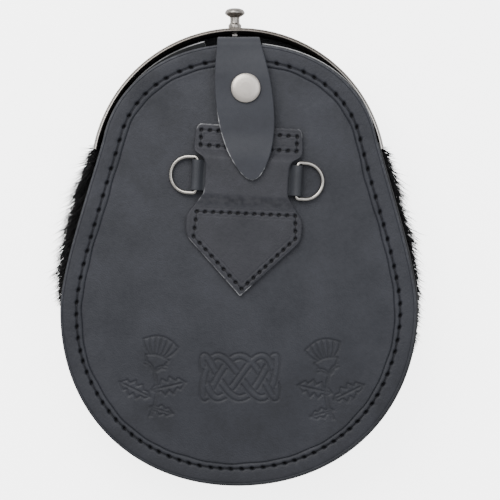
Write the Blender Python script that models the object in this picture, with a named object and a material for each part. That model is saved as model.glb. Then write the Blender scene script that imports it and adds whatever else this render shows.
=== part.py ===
"""Sporran pouch, lying on its fur front with the leather back up.

X runs across the pouch, Y from its bottom to its mouth and Z up from the fur to the back.
Sizes are in metres. The pouch is modelled round its own centre line and set on the origin last.
"""
import math

import bmesh
import bpy
import numpy as np
from mathutils import Matrix, Vector
from mathutils.geometry import interpolate_bezier

# Fit
GAP = 0.0003
EDGE_STATIONS = 72

# Back panel outline
PANEL_HALF_WIDTH = 0.0892
WIDEST_TO_TOP = 0.1327
WIDEST_TO_BOTTOM = 0.0883
PANEL_LEAN = 0.009

# Leathers, and the heights of the layers
BACK_WALL = 0.0025
BACK_CROWN = 0.0025
CROWN_MARGIN = 0.0030
FRONT_WALL = 0.0020
GUSSET_WALL = 0.0018
GUSSET_DEPTH = 0.0254
FACING_WALL = 0.0020

# Stitched edge of the back panel
STITCH_INSET = 0.0079
GROOVE_DEPTH = 0.0006
GROOVE_HALF_WIDTH = 0.0006
BEAD_HEIGHT = 0.0003
CREASE_INSET = 0.0112
CREASE_DEPTH = 0.0005
CREASE_HALF_WIDTH = 0.0012

# Gusset
GUSSET_PROUD = 0.0005
GUSSET_SHIFT = 0.0004
GUSSET_WALL_INSET = 0.0095
GUSSET_FOLD = 0.0040
GUSSET_BEND = 0.0016
GUSSET_OVERLAP = 0.0030

# Facing under the panel's top edge
FACING_WIDTH = 0.0120
FACING_PROUD_LEFT = 0.0022
FACING_PROUD_RIGHT = 0.0009
NOTCH_LEFT = 0.0163
NOTCH_RIGHT = 0.0118

# Cantle
MOUTH_GAP = 0.0074
CANTLE_DROP = 0.0596
CANTLE_SIDE_GAP = 0.0005
CANTLE_WALL = 0.0018
CANTLE_DEPTH = 0.0240
CANTLE_PLATE = 0.0015
CANTLE_BREAK = 0.0005
CANTLE_FACE_HEIGHT = 0.0460
CANTLE_HORN_WIDTH = 0.0130
CANTLE_BLEND = 0.0200

# Fur front
HIDE_WALL = 0.0018
FUR_DEPTH = 0.0039
LOCK_COUNT = 24
LOCK_ROWS = 6
FLANK_TUFT = 0.0080
HEM_TUFT = 0.0030
FUR_INSET = 0.0008
FUR_SEAT = 0.0010

# Knob on the cantle
KNOB_X = -0.0019
KNOB_Z = 0.0130
KNOB_HEAD_RADIUS = 0.0051
KNOB_HEAD_HEIGHT = 0.0049
KNOB_NECK_RADIUS = 0.0024
KNOB_NECK_HEIGHT = 0.0033
KNOB_COLLAR_RADIUS = 0.0033
KNOB_COLLAR_HEIGHT = 0.0025
SHANK_RADIUS = 0.0012
SHANK_END = 0.0004
NUT_RADIUS = 0.0026
NUT_HEIGHT = 0.0016

# Closure tongue
TONGUE_WALL = 0.0020
TONGUE_LENGTH = 0.0721
TONGUE_HALF_WIDTH = 0.0143
TONGUE_LEAN = 0.096
TONGUE_EDGE_GAP = 0.0015
EDGE_LIFT = 0.0010
TONGUE_FOOT = 0.0300
TONGUE_RAMP = 0.0155
FOOT_BEND = 0.0050
EDGE_BEND = 0.0040
TONGUE_SHAPE = [
    # share of the length from the bend, share of the half width
    (0.00, 0.72), (0.19, 0.89), (0.36, 1.00), (0.54, 1.00), (0.65, 0.94), (0.71, 0.89),
    (0.80, 0.77), (0.90, 0.54), (0.96, 0.31), (0.99, 0.14), (1.00, 0.05),
]

# Snap
SNAP_X = 0.0037
SNAP_DROP = 0.0227
SNAP_SEAT = 0.0005
CAP_RADIUS = 0.0074
CAP_HEIGHT = 0.0019
CAP_ROLL = 0.0009
SOCKET_ROOF = 0.0005
SOCKET_RADIUS = 0.0052
STUD_RADIUS = 0.0028
STUD_FLANGE_RADIUS = 0.0047
STUD_FLANGE_HEIGHT = 0.0007
STUD_HEIGHT = 0.0015
SNAP_POST_RADIUS = 0.0017

# Belt patch
PATCH_X = 0.0042
PATCH_BELOW_TOP = 0.0673
PATCH_TURN = math.radians(-3.3)
PATCH_WALL = 0.0020
PATCH_HEAD = 0.0259
PATCH_LENGTH = 0.0847
PATCH_HALF_WIDTH = 0.0290
PATCH_RAMP = 0.0055
PATCH_SHAPE = [
    # share of the length from the top edge, share of the half width
    (0.00, 0.86), (0.02, 0.90), (0.08, 0.93), (0.13, 0.94), (0.165, 0.92), (0.20, 0.75),
    (0.235, 0.722), (0.285, 0.715), (0.37, 0.715), (0.41, 0.725), (0.44, 0.79), (0.475, 0.86),
    (0.51, 0.93), (0.535, 0.98), (0.56, 1.00), (0.62, 1.00), (0.65, 0.985), (0.68, 0.945),
    (0.84, 0.475), (0.97, 0.09), (0.992, 0.05), (1.00, 0.02),
]

# Ring strap and rings
STRAP_WALL = 0.0012
STRAP_WIDTH = 0.0153
STRAP_CLEARANCE = 0.0007
BAR_SPACING = 0.0501
LOOP_NECK = 0.0036
RING_WIRE_RADIUS = 0.00095
RING_CLEARANCE = 0.0004
RING_REACH = 0.0140
RING_CORNER = 0.0015

# Heights above the floor, worked out from the walls
FRONT_UNDER = FUR_DEPTH + HIDE_WALL + GAP
FRONT_TOP = FRONT_UNDER + FRONT_WALL
GUSSET_UNDER = FRONT_TOP + GAP
GUSSET_TOP = GUSSET_UNDER + GUSSET_DEPTH
BACK_UNDER = GUSSET_TOP + GAP
BACK_TOP = BACK_UNDER + BACK_WALL

# Heights above the back panel's face, worked out from the walls
STRAP_THICKNESS = 2 * STRAP_WALL + GAP
WAIST_UNDER = GAP + STRAP_THICKNESS + GAP
SOCKET_UNDER = SNAP_SEAT + STUD_FLANGE_HEIGHT + GAP
SOCKET_TOP = SNAP_SEAT + STUD_FLANGE_HEIGHT + STUD_HEIGHT + GAP + SOCKET_ROOF
SNAP_LIFT = SOCKET_TOP + GAP
WAIST_LIFT = WAIST_UNDER + PATCH_WALL + GAP

# Outline and its offsets


def panel_half_edge():
    """Right half of the back panel's edge, bottom to top, as three Bezier spans."""
    shoulder_lean = math.radians(13.5)
    bottom = Vector((0, -WIDEST_TO_BOTTOM))
    side = Vector((PANEL_HALF_WIDTH, 0))
    shoulder = Vector((0.76 * PANEL_HALF_WIDTH, 0.6625 * WIDEST_TO_TOP))
    top = Vector((0, WIDEST_TO_TOP))
    along_shoulder = Vector((-math.sin(shoulder_lean), math.cos(shoulder_lean)))
    spans = [
        (bottom, bottom + Vector((0.566 * PANEL_HALF_WIDTH, 0)),
         side - Vector((0, 0.61 * WIDEST_TO_BOTTOM)), side),
        (side, side + Vector((0, 0.156 * WIDEST_TO_TOP)),
         shoulder - 0.165 * WIDEST_TO_TOP * along_shoulder, shoulder),
        (shoulder, shoulder + 0.17 * WIDEST_TO_TOP * along_shoulder,
         top + Vector((0.4625 * PANEL_HALF_WIDTH, 0)), top),
    ]
    points = []
    for knot, handle, next_handle, next_knot in spans:
        points += interpolate_bezier(knot, handle, next_handle, next_knot, 41)[:-1]
    return np.array([tuple(point) for point in points + [top]])


def panel_edge():
    """Whole edge, counter-clockwise from the bottom centre back to it, a little off square."""
    right = panel_half_edge()
    left = right[-2::-1] * (-1, 1)
    edge = np.vstack([right, left])
    edge[:, 0] += PANEL_LEAN * edge[:, 1]
    return edge


EDGE = panel_edge()
EDGE_RUN = np.concatenate([[0], np.cumsum(np.linalg.norm(np.diff(EDGE, axis=0), axis=1))])
EDGE_SHARE = EDGE_RUN / EDGE_RUN[-1]


def edge_point(share):
    """Point of the edge at a share of the way round, which may run below 0 or past 1."""
    turn = np.mod(share, 1.0)
    return np.array([np.interp(turn, EDGE_SHARE, EDGE[:, 0]), np.interp(turn, EDGE_SHARE, EDGE[:, 1])])


def edge_normal(share):
    """Outward direction across the edge."""
    step = 0.004
    along = edge_point(share + step) - edge_point(share - step)
    along /= np.linalg.norm(along)
    return np.array([along[1], -along[0]])


def edge_offset(share, inset):
    """Point at a distance inside the edge."""
    return edge_point(share) - inset * edge_normal(share)


def right_share_at_height(height):
    """Share of the way round at which the right flank reaches a height."""
    half = len(EDGE) // 2 + 1
    return float(np.interp(height, EDGE[:half, 1], EDGE_SHARE[:half]))


def top_share_at(x):
    """Share of the way round at which the top arc crosses an x."""
    top = (EDGE[:, 1] > 0.6 * WIDEST_TO_TOP)
    return float(np.interp(-x, -EDGE[top, 0], EDGE_SHARE[top]))


ROUND = [station / EDGE_STATIONS for station in range(EDGE_STATIONS)]
PANEL_TOP_Y = WIDEST_TO_TOP
SNAP_Y = PANEL_TOP_Y - SNAP_DROP
PATCH_Y = PANEL_TOP_Y - PATCH_BELOW_TOP
CROWN_Y = 0.5 * (WIDEST_TO_TOP - WIDEST_TO_BOTTOM)
CROWN_HALF_WIDTH = PANEL_HALF_WIDTH - CREASE_INSET - CROWN_MARGIN
CROWN_HALF_HEIGHT = 0.5 * (WIDEST_TO_TOP + WIDEST_TO_BOTTOM) - CREASE_INSET - CROWN_MARGIN


def rise(x, y):
    """How far the crowned back stands above its edge at a place."""
    across = (x / CROWN_HALF_WIDTH) ** 2
    along = ((y - CROWN_Y) / CROWN_HALF_HEIGHT) ** 2
    return BACK_CROWN * max(0.0, 1.0 - across - along)


def ease(step):
    """Smooth way from 0 to 1 as the step goes from 0 to 1."""
    held = min(max(step, 0.0), 1.0)
    return held * held * (3.0 - 2.0 * held)


# Meshes and objects


def material(name, colour, roughness, metallic=0.0):
    """Principled material of one finish."""
    made = bpy.data.materials.new(name)
    made.use_nodes = True
    shader = made.node_tree.nodes["Principled BSDF"]
    shader.inputs["Base Color"].default_value = (*colour, 1.0)
    shader.inputs["Roughness"].default_value = roughness
    shader.inputs["Metallic"].default_value = metallic
    made.diffuse_color = (*colour, 1.0)
    return made


def loft(loops, closed=False):
    """Closed body from a row of point loops, capped at both ends or joined into a ring."""
    bm = bmesh.new()
    rows = [[bm.verts.new(tuple(point)) for point in loop] for loop in loops]
    pairs = list(zip(rows, rows[1:]))
    if closed:
        pairs.append((rows[-1], rows[0]))
    for row, following in pairs:
        for corner in range(len(row)):
            beside = (corner + 1) % len(row)
            bm.faces.new((row[corner], row[beside], following[beside], following[corner]))
    if not closed:
        bm.faces.new(rows[0])
        bm.faces.new(rows[-1])
    bmesh.ops.recalc_face_normals(bm, faces=bm.faces)
    return bm


def turned(profile, sides):
    """Body turned about Z from a profile of radius and height rows."""
    bm = bmesh.new()
    verts = [bm.verts.new((radius, 0, height)) for radius, height in profile]
    edges = [bm.edges.new(pair) for pair in zip(verts, verts[1:])]
    if profile[0][0] > 0:
        edges.append(bm.edges.new((verts[-1], verts[0])))
    bmesh.ops.spin(bm, geom=verts + edges, cent=(0, 0, 0), axis=(0, 0, 1),
                   angle=2 * math.pi, steps=sides, use_merge=True)
    bmesh.ops.remove_doubles(bm, verts=bm.verts, dist=1e-6)
    bmesh.ops.recalc_face_normals(bm, faces=bm.faces)
    return bm


def piece(name, bm, finish, crease_angle=35, place=(0, 0, 0), rotation=(0, 0, 0)):
    """Object of one sub-part, carried by the pouch."""
    mesh = bpy.data.meshes.new(name)
    bm.to_mesh(mesh)
    bm.free()
    mesh.materials.append(finish)
    mesh.shade_smooth()
    mesh.set_sharp_from_angle(angle=math.radians(crease_angle))
    made = bpy.data.objects.new(name, mesh)
    made.location = place
    made.rotation_euler = rotation
    bpy.context.collection.objects.link(made)
    made.parent = pouch
    return made


def bore(target, name, radius, depth, place, rotation=(0, 0, 0)):
    """Round hole cut through a piece."""
    bm = bmesh.new()
    bmesh.ops.create_cone(bm, cap_ends=True, segments=20, radius1=radius, radius2=radius, depth=depth)
    cutter = piece(name, bm, target.data.materials[0], place=place, rotation=rotation)
    cutter.hide_render = True
    cutter.display_type = "WIRE"
    cut = target.modifiers.new(name, "BOOLEAN")
    cut.operation = "DIFFERENCE"
    cut.solver = "EXACT"
    cut.object = cutter


# Leather body


def edge_loop(inset, height, shares=ROUND):
    """Loop round the pouch at an inset from the panel's edge."""
    loop = []
    for share in shares:
        x, y = edge_offset(share, inset)
        loop.append((x, y, height + rise(x, y)))
    return loop


def inner_loop(scale, height):
    """Loop inside the crease, drawn in towards the panel's centre."""
    loop = []
    for share in ROUND:
        x, y = edge_offset(share, CREASE_INSET + CREASE_HALF_WIDTH)
        x *= scale
        y = CROWN_Y + scale * (y - CROWN_Y)
        loop.append((x, y, height + rise(x, y)))
    return loop


def back_panel():
    """Crowned panel with rounded edges, a stitch groove, a raised bead and a crease."""
    soften = 0.3 * BACK_WALL
    scales = (0.12, 0.45, 0.8)
    groove_out = STITCH_INSET - GROOVE_HALF_WIDTH
    groove_in = STITCH_INSET + GROOVE_HALF_WIDTH
    bead = 0.5 * (groove_in + CREASE_INSET)
    loops = [inner_loop(scale, BACK_UNDER) for scale in scales]
    loops.append(edge_loop(GUSSET_WALL_INSET, BACK_UNDER))
    loops.append(edge_loop(soften, BACK_UNDER))
    loops.append(edge_loop(0, BACK_UNDER + soften))
    loops.append(edge_loop(0, BACK_TOP - 1.4 * soften))
    loops.append(edge_loop(1.4 * soften, BACK_TOP - 0.2 * soften))
    loops.append(edge_loop(groove_out, BACK_TOP))
    loops.append(edge_loop(STITCH_INSET, BACK_TOP - GROOVE_DEPTH))
    loops.append(edge_loop(groove_in, BACK_TOP))
    loops.append(edge_loop(bead, BACK_TOP + BEAD_HEIGHT))
    loops.append(edge_loop(CREASE_INSET, BACK_TOP - CREASE_DEPTH))
    loops += [inner_loop(scale, BACK_TOP) for scale in (1.0, *reversed(scales))]
    panel = piece("back_panel", loft(loops), black_leather)
    bore(panel, "snap_hole_cutter", SNAP_POST_RADIUS + GAP, 6 * BACK_WALL, (SNAP_X, SNAP_Y, BACK_TOP))
    return panel


def cantle_circle():
    """Centre height and inner radius of the arc that clears the panel's top and sides."""
    inner_top = PANEL_TOP_Y + MOUTH_GAP
    end_height = inner_top - CANTLE_DROP
    flank = edge_point(right_share_at_height(end_height))[0]
    end_x = flank + GUSSET_PROUD + GUSSET_SHIFT + CANTLE_SIDE_GAP
    radius = (end_x ** 2 + CANTLE_DROP ** 2) / (2 * CANTLE_DROP)
    return inner_top - radius, radius


CANTLE_Y, CANTLE_INNER = cantle_circle()
CANTLE_OUTER = CANTLE_INNER + CANTLE_WALL
CANTLE_END_Y = PANEL_TOP_Y + MOUTH_GAP - CANTLE_DROP
CANTLE_END_ANGLE = math.asin((CANTLE_END_Y - CANTLE_Y) / CANTLE_INNER)


def front_point(share, inset):
    """Point of the front panel's edge: the back's outline, filled out to the cantle's wall."""
    x, y = edge_offset(share, inset)
    reach = math.hypot(x, y - CANTLE_Y)
    seat = CANTLE_INNER - GAP - inset
    end = CANTLE_Y + reach * math.sin(CANTLE_END_ANGLE)
    filled = reach + (seat - reach) * ease((y - end) / CANTLE_BLEND + 0.5)
    return x * filled / reach, CANTLE_Y + (y - CANTLE_Y) * filled / reach


def front_loop(inset, height):
    """Loop round the front panel."""
    return [(*front_point(share, inset), height) for share in ROUND]


def front_panel():
    """Flat panel that carries the fur and seats inside the cantle."""
    soften = 0.25 * FRONT_WALL
    middle = 0.35 * PANEL_HALF_WIDTH
    rows = [
        (middle, FRONT_UNDER), (soften, FRONT_UNDER), (0, FRONT_UNDER + soften),
        (0, FRONT_TOP - soften), (soften, FRONT_TOP), (middle, FRONT_TOP),
    ]
    loops = [front_loop(inset, height) for inset, height in rows]
    return piece("front_panel", loft(loops), black_leather)


GUSSET_END = right_share_at_height(CANTLE_END_Y + GUSSET_OVERLAP)


def gusset_section():
    """Channel section, as inset and height: two stitched flanges and a wall folded inwards."""
    half = 0.5 * GUSSET_WALL
    low = GUSSET_UNDER + half
    high = GUSSET_TOP - half
    wall = GUSSET_WALL_INSET
    middle = 0.5 * (low + high)
    turn = GUSSET_BEND
    line = [
        (-GUSSET_PROUD, high), (wall - turn, high), (wall, high - turn), (wall + GUSSET_FOLD, middle),
        (wall, low + turn), (wall - turn, low), (-GUSSET_PROUD, low),
    ]
    outer, inner = [], []
    for place, (inset, height) in enumerate(line):
        before = np.array(line[max(place - 1, 0)])
        after = np.array(line[min(place + 1, len(line) - 1)])
        along = (after - before) / np.linalg.norm(after - before)
        across = half * np.array([along[1], -along[0]])
        outer.append((inset + across[0], height + across[1]))
        inner.append((inset - across[0], height - across[1]))
    return outer + inner[::-1]


def gusset():
    """Channel round the sides and bottom, from one horn of the cantle to the other."""
    count = 52
    section = gusset_section()
    loops = []
    for station in range(count + 1):
        share = GUSSET_END * (2 * station / count - 1)
        loop = []
        for inset, height in section:
            x, y = edge_offset(share, inset)
            loop.append((x + GUSSET_SHIFT, y, height))
        loops.append(loop)
    return piece("gusset", loft(loops), black_leather)


def facing_proud(share):
    """How far the facing shows past the panel's edge at a share of the way round."""
    start = GUSSET_END
    stop = 1 - GUSSET_END
    notch_start = top_share_at(NOTCH_RIGHT)
    notch_stop = top_share_at(-NOTCH_LEFT)
    if notch_start < share < notch_stop:
        return -GAP
    if share <= notch_start:
        return FACING_PROUD_RIGHT * ease(3 * (share - start) / (notch_start - start))
    return FACING_PROUD_LEFT * ease(2.2 * (stop - share) / (stop - notch_stop))


def mouth_facing():
    """Second leather under the panel's top edge, notched where the tongue comes out."""
    margin = 0.006
    notch = [top_share_at(NOTCH_RIGHT), top_share_at(-NOTCH_LEFT)]
    step = 0.0004
    shares = list(np.linspace(GUSSET_END + margin, notch[0] - step, 10))
    shares += list(np.linspace(notch[0] + step, notch[1] - step, 6))
    shares += list(np.linspace(notch[1] + step, 1 - GUSSET_END - margin, 12))
    top = BACK_UNDER - GAP
    under = top - FACING_WALL
    loops = []
    for share in shares:
        proud = facing_proud(share)
        section = [(-proud, under), (-proud, top), (FACING_WIDTH, top), (FACING_WIDTH, under)]
        loops.append([(*edge_offset(share, inset), height) for inset, height in section])
    return piece("mouth_facing", loft(loops), black_leather)


# Cantle, knob and nut


def cantle_lower_edge():
    """Centre height and radius of the arc along the bottom of the cantle's face."""
    middle = PANEL_TOP_Y + MOUTH_GAP + CANTLE_WALL - CANTLE_FACE_HEIGHT
    horn = CANTLE_INNER - CANTLE_HORN_WIDTH
    horn_x = horn * math.cos(CANTLE_END_ANGLE)
    horn_y = CANTLE_Y + horn * math.sin(CANTLE_END_ANGLE)
    drop = middle - horn_y
    radius = (horn_x ** 2 + drop ** 2) / (2 * drop)
    return middle - radius, radius


LOWER_Y, LOWER_RADIUS = cantle_lower_edge()


def lower_reach(angle):
    """Distance from the cantle's centre to its lower edge, in a direction."""
    up = CANTLE_Y - LOWER_Y
    along = up * math.sin(angle)
    return -along + math.sqrt(along ** 2 - up ** 2 + LOWER_RADIUS ** 2)


def cantle():
    """Pressed metal crescent with a deep outer wall and a turned-in lower edge."""
    count = 48
    soft = CANTLE_BREAK
    lip = FRONT_UNDER - GAP
    back = CANTLE_OUTER - CANTLE_WALL
    loops = []
    for station in range(count + 1):
        angle = CANTLE_END_ANGLE + (math.pi - 2 * CANTLE_END_ANGLE) * station / count
        low = lower_reach(angle)
        section = [
            (CANTLE_OUTER, soft), (CANTLE_OUTER - soft, 0), (low + soft, 0), (low, soft),
            (low, lip - soft), (low + soft, lip), (low + CANTLE_PLATE, lip - soft),
            (low + CANTLE_PLATE, CANTLE_PLATE), (back, CANTLE_PLATE), (back, CANTLE_DEPTH - soft),
            (back + soft, CANTLE_DEPTH), (CANTLE_OUTER - soft, CANTLE_DEPTH),
            (CANTLE_OUTER, CANTLE_DEPTH - soft),
        ]
        loops.append([
            (reach * math.cos(angle), CANTLE_Y + reach * math.sin(angle), height)
            for reach, height in section
        ])
    made = piece("cantle", loft(loops), antique_steel)
    wall_y = CANTLE_Y + math.sqrt(CANTLE_OUTER ** 2 - KNOB_X ** 2)
    bore(made, "knob_hole_cutter", SHANK_RADIUS + GAP, 5 * CANTLE_WALL, (KNOB_X, wall_y, KNOB_Z),
         rotation=(math.radians(90), 0, 0))
    return made


def knob_seat():
    """Height at which the knob stands on the cantle's rim."""
    return CANTLE_Y + CANTLE_OUTER + GAP


def knob():
    """Turned mushroom knob with its collar and threaded shank."""
    collar = KNOB_COLLAR_HEIGHT
    neck = collar + KNOB_NECK_HEIGHT
    head = neck + KNOB_HEAD_HEIGHT
    shank = -(CANTLE_WALL + 2 * GAP + NUT_HEIGHT + SHANK_END)
    profile = [
        (0, head), (0.45 * KNOB_HEAD_RADIUS, head - 0.06 * KNOB_HEAD_HEIGHT),
        (0.82 * KNOB_HEAD_RADIUS, head - 0.22 * KNOB_HEAD_HEIGHT),
        (KNOB_HEAD_RADIUS, head - 0.47 * KNOB_HEAD_HEIGHT),
        (0.97 * KNOB_HEAD_RADIUS, head - 0.61 * KNOB_HEAD_HEIGHT),
        (0.7 * KNOB_HEAD_RADIUS, neck + 0.16 * KNOB_HEAD_HEIGHT), (KNOB_NECK_RADIUS, neck),
        (KNOB_NECK_RADIUS, collar + 0.1 * KNOB_NECK_HEIGHT), (0.85 * KNOB_COLLAR_RADIUS, collar),
        (KNOB_COLLAR_RADIUS, 0.8 * collar), (KNOB_COLLAR_RADIUS, 0.16 * collar),
        (0.9 * KNOB_COLLAR_RADIUS, 0), (SHANK_RADIUS, 0), (SHANK_RADIUS, shank), (0, shank),
    ]
    return piece("knob", turned(profile, 20), antique_steel, place=(KNOB_X, knob_seat(), KNOB_Z),
                 rotation=(math.radians(-90), 0, 0))


def knob_nut():
    """Six-sided nut that holds the knob, inside the cantle's wall."""
    hole = SHANK_RADIUS + GAP
    edge = 0.18 * NUT_HEIGHT
    profile = [
        (hole, 0), (NUT_RADIUS - edge, 0), (NUT_RADIUS, edge), (NUT_RADIUS, NUT_HEIGHT - edge),
        (NUT_RADIUS - edge, NUT_HEIGHT), (hole, NUT_HEIGHT),
    ]
    seat = knob_seat() - CANTLE_WALL - 2 * GAP - NUT_HEIGHT
    return piece("knob_nut", turned(profile, 6), nickel, place=(KNOB_X, seat, KNOB_Z),
                 rotation=(math.radians(-90), 0, 0))


# Fur front


def fur_start(across):
    """Upper edge of the fur: the cantle's lower edge, then its horns' ends, from -1 at the left to 1."""
    horn = 0.9
    side = math.copysign(1, across)
    inner = CANTLE_INNER - CANTLE_HORN_WIDTH
    if abs(across) > horn:
        out = (abs(across) - horn) / (1 - horn)
        reach = inner + (CANTLE_HORN_WIDTH - FUR_SEAT) * out
        x = side * reach * math.cos(CANTLE_END_ANGLE)
        return np.array([x, CANTLE_Y + reach * math.sin(CANTLE_END_ANGLE) - FUR_SEAT])
    x = across / horn * inner * math.cos(CANTLE_END_ANGLE)
    return np.array([x, LOWER_Y + math.sqrt(LOWER_RADIUS ** 2 - x ** 2) - FUR_SEAT])


def fur_front():
    """Hide with its hair in rows of overlapping locks, pressed flat where it lies."""
    hide = FUR_DEPTH
    top = FUR_DEPTH + HIDE_WALL
    end = right_share_at_height(CANTLE_END_Y - 2 * FUR_SEAT)
    columns = 2 * LOCK_COUNT
    loops = []
    for column in range(columns + 1):
        across = 2 * column / columns - 1
        share = across * end
        start = fur_start(across)
        rim = np.array(front_point(share, FUR_INSET))
        fall = edge_normal(share) + (0, -1)
        fall /= np.linalg.norm(fall)
        flank = abs(edge_normal(share)[0]) ** 2
        tuft = HEM_TUFT + (FLANK_TUFT - HEM_TUFT) * flank
        loop = []
        for row in range(LOCK_ROWS):
            middle = (column + row) % 2
            thick = 1.0 if middle else 0.45
            for along, part in ((0.02, 0.45), (0.45, 0.8), (0.93, 1.0)):
                place = start + (rim - start) * (row + along) / LOCK_ROWS
                loop.append((*place, hide * (1 - thick * part)))
        long_tip = 1.0 if column % 2 else 0.45
        tip = rim + fall * tuft * long_tip
        loop.append((*(rim + 0.5 * (tip - rim)), 0.16 * hide))
        loop.append((*tip, 0.65 * hide))
        loop.append((*(rim + 0.3 * (tip - rim)), 0.9 * top))
        for along in (0.97, 0.5, 0.0):
            loop.append((*(start + (rim - start) * along), top))
        loops.append(loop)
    return piece("fur_front", loft(loops), black_fur, crease_angle=50)


# Tongue and snap


def tongue_lift(y):
    """Height of the tongue's underside above the back panel, where it lies over it."""
    bend = PANEL_TOP_Y + TONGUE_EDGE_GAP + 0.5 * TONGUE_WALL - EDGE_BEND
    to_snap = ease((bend - y) / (bend - SNAP_Y - SOCKET_RADIUS))
    waist_start = PATCH_Y + 0.5 * STRAP_WIDTH
    to_waist = ease((waist_start + TONGUE_RAMP - y) / TONGUE_RAMP)
    return EDGE_LIFT + (SNAP_LIFT - EDGE_LIFT) * to_snap + (WAIST_LIFT - SNAP_LIFT) * to_waist


def tongue_path():
    """Middle of the strip as y and z: foot, two bends and the stretch over the back."""
    half = 0.5 * TONGUE_WALL
    out = PANEL_TOP_Y + TONGUE_EDGE_GAP + half
    low = FRONT_TOP + GAP + half
    high = BACK_TOP + EDGE_LIFT + half
    path = [(PANEL_TOP_Y - TONGUE_FOOT, low), (PANEL_TOP_Y - 0.5 * TONGUE_FOOT, low)]
    for turn in (-90, -60, -30, 0):
        angle = math.radians(turn)
        path.append((out + FOOT_BEND * (math.cos(angle) - 1), low + FOOT_BEND * (1 + math.sin(angle))))
    for turn in (0, 22, 45, 68, 90):
        angle = math.radians(turn)
        path.append((out + EDGE_BEND * (math.cos(angle) - 1), high + EDGE_BEND * (math.sin(angle) - 1)))
    tip = out + half - TONGUE_LENGTH
    start = out - EDGE_BEND
    for along in np.linspace(0, 1, 27)[1:]:
        y = start + (tip - start) * along
        x = SNAP_X * (start - y) / (start - SNAP_Y)
        path.append((y, BACK_TOP + rise(x, y) + tongue_lift(y) + half))
    return path


def tongue_half_width(y, hidden):
    """Half the strip's width at a height on the back, or its plain width below the bend."""
    shares, widths = zip(*TONGUE_SHAPE)
    if hidden:
        return widths[0] * TONGUE_HALF_WIDTH
    top = PANEL_TOP_Y + TONGUE_EDGE_GAP + TONGUE_WALL
    return TONGUE_HALF_WIDTH * float(np.interp((top - y) / TONGUE_LENGTH, shares, widths))


def closure_tongue():
    """Leather strip from the front panel, out of the mouth and down over the back."""
    path = [np.array(point) for point in tongue_path()]
    top = PANEL_TOP_Y + TONGUE_EDGE_GAP + TONGUE_WALL
    bend_start = 6
    half = 0.5 * TONGUE_WALL
    loops = []
    for place, middle in enumerate(path):
        before = path[max(place - 1, 0)]
        after = path[min(place + 1, len(path) - 1)]
        along = (after - before) / np.linalg.norm(after - before)
        across = half * np.array([along[1], -along[0]])
        width = tongue_half_width(middle[0], hidden=place < bend_start)
        centre = TONGUE_LEAN * (top - middle[0])
        outer = middle + across
        inner = middle - across
        loops.append([
            (centre - width, *inner), (centre - width, *outer),
            (centre + width, *outer), (centre + width, *inner),
        ])
    made = piece("closure_tongue", loft(loops), black_leather)
    bore(made, "tongue_hole_cutter", SNAP_POST_RADIUS + GAP, 3 * TONGUE_WALL,
         (SNAP_X, SNAP_Y, snap_base() + SNAP_LIFT + half))
    return made


def snap_base():
    """Height of the back panel's face under the snap."""
    return BACK_TOP + rise(SNAP_X, SNAP_Y)


def snap_cap():
    """Domed cap on the tongue, with its post and the socket under it in one body."""
    seat = SNAP_LIFT + TONGUE_WALL + 2 * GAP
    bore_radius = STUD_RADIUS + GAP
    profile = [
        (0, seat + CAP_HEIGHT), (0.4 * CAP_RADIUS, seat + 0.97 * CAP_HEIGHT),
        (0.75 * CAP_RADIUS, seat + 0.86 * CAP_HEIGHT), (0.92 * CAP_RADIUS, seat + 0.68 * CAP_HEIGHT),
        (CAP_RADIUS, seat + 0.4 * CAP_HEIGHT), (CAP_RADIUS - 0.2 * CAP_ROLL, seat + 0.1 * CAP_HEIGHT),
        (CAP_RADIUS - CAP_ROLL, seat), (SNAP_POST_RADIUS, seat), (SNAP_POST_RADIUS, SOCKET_TOP),
        (SOCKET_RADIUS, SOCKET_TOP), (SOCKET_RADIUS, SOCKET_UNDER), (bore_radius, SOCKET_UNDER),
        (bore_radius, SOCKET_TOP - SOCKET_ROOF), (0, SOCKET_TOP - SOCKET_ROOF),
    ]
    return piece("snap_cap", turned(profile, 24), nickel, place=(SNAP_X, SNAP_Y, snap_base()))


def snap_stud():
    """Stud riveted through the back panel, with a washer inside."""
    flange = SNAP_SEAT + STUD_FLANGE_HEIGHT
    stud = flange + STUD_HEIGHT
    washer = -(BACK_WALL + SNAP_SEAT)
    profile = [
        (0, stud), (0.8 * STUD_RADIUS, stud), (STUD_RADIUS, stud - 0.25 * STUD_HEIGHT), (0.85 * STUD_RADIUS, flange),
        (STUD_FLANGE_RADIUS, flange), (STUD_FLANGE_RADIUS, SNAP_SEAT), (SNAP_POST_RADIUS, SNAP_SEAT),
        (SNAP_POST_RADIUS, washer), (STUD_RADIUS, washer), (STUD_RADIUS, washer - STUD_FLANGE_HEIGHT),
        (0, washer - STUD_FLANGE_HEIGHT),
    ]
    return piece("snap_stud", turned(profile, 16), nickel, place=(SNAP_X, SNAP_Y, snap_base()))


# Belt patch, ring strap and rings


def on_patch(across, along):
    """Pouch x and y of a place in the patch's own frame, centred on the ring strap."""
    cosine = math.cos(PATCH_TURN)
    sine = math.sin(PATCH_TURN)
    return PATCH_X + cosine * across - sine * along, PATCH_Y + sine * across + cosine * along


def patch_lift(along):
    """Height of the patch's underside above the panel: flat, and up over the ring strap."""
    clear = 0.5 * STRAP_WIDTH + STRAP_CLEARANCE
    return GAP + (WAIST_UNDER - GAP) * ease((clear + PATCH_RAMP - abs(along)) / PATCH_RAMP)


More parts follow.
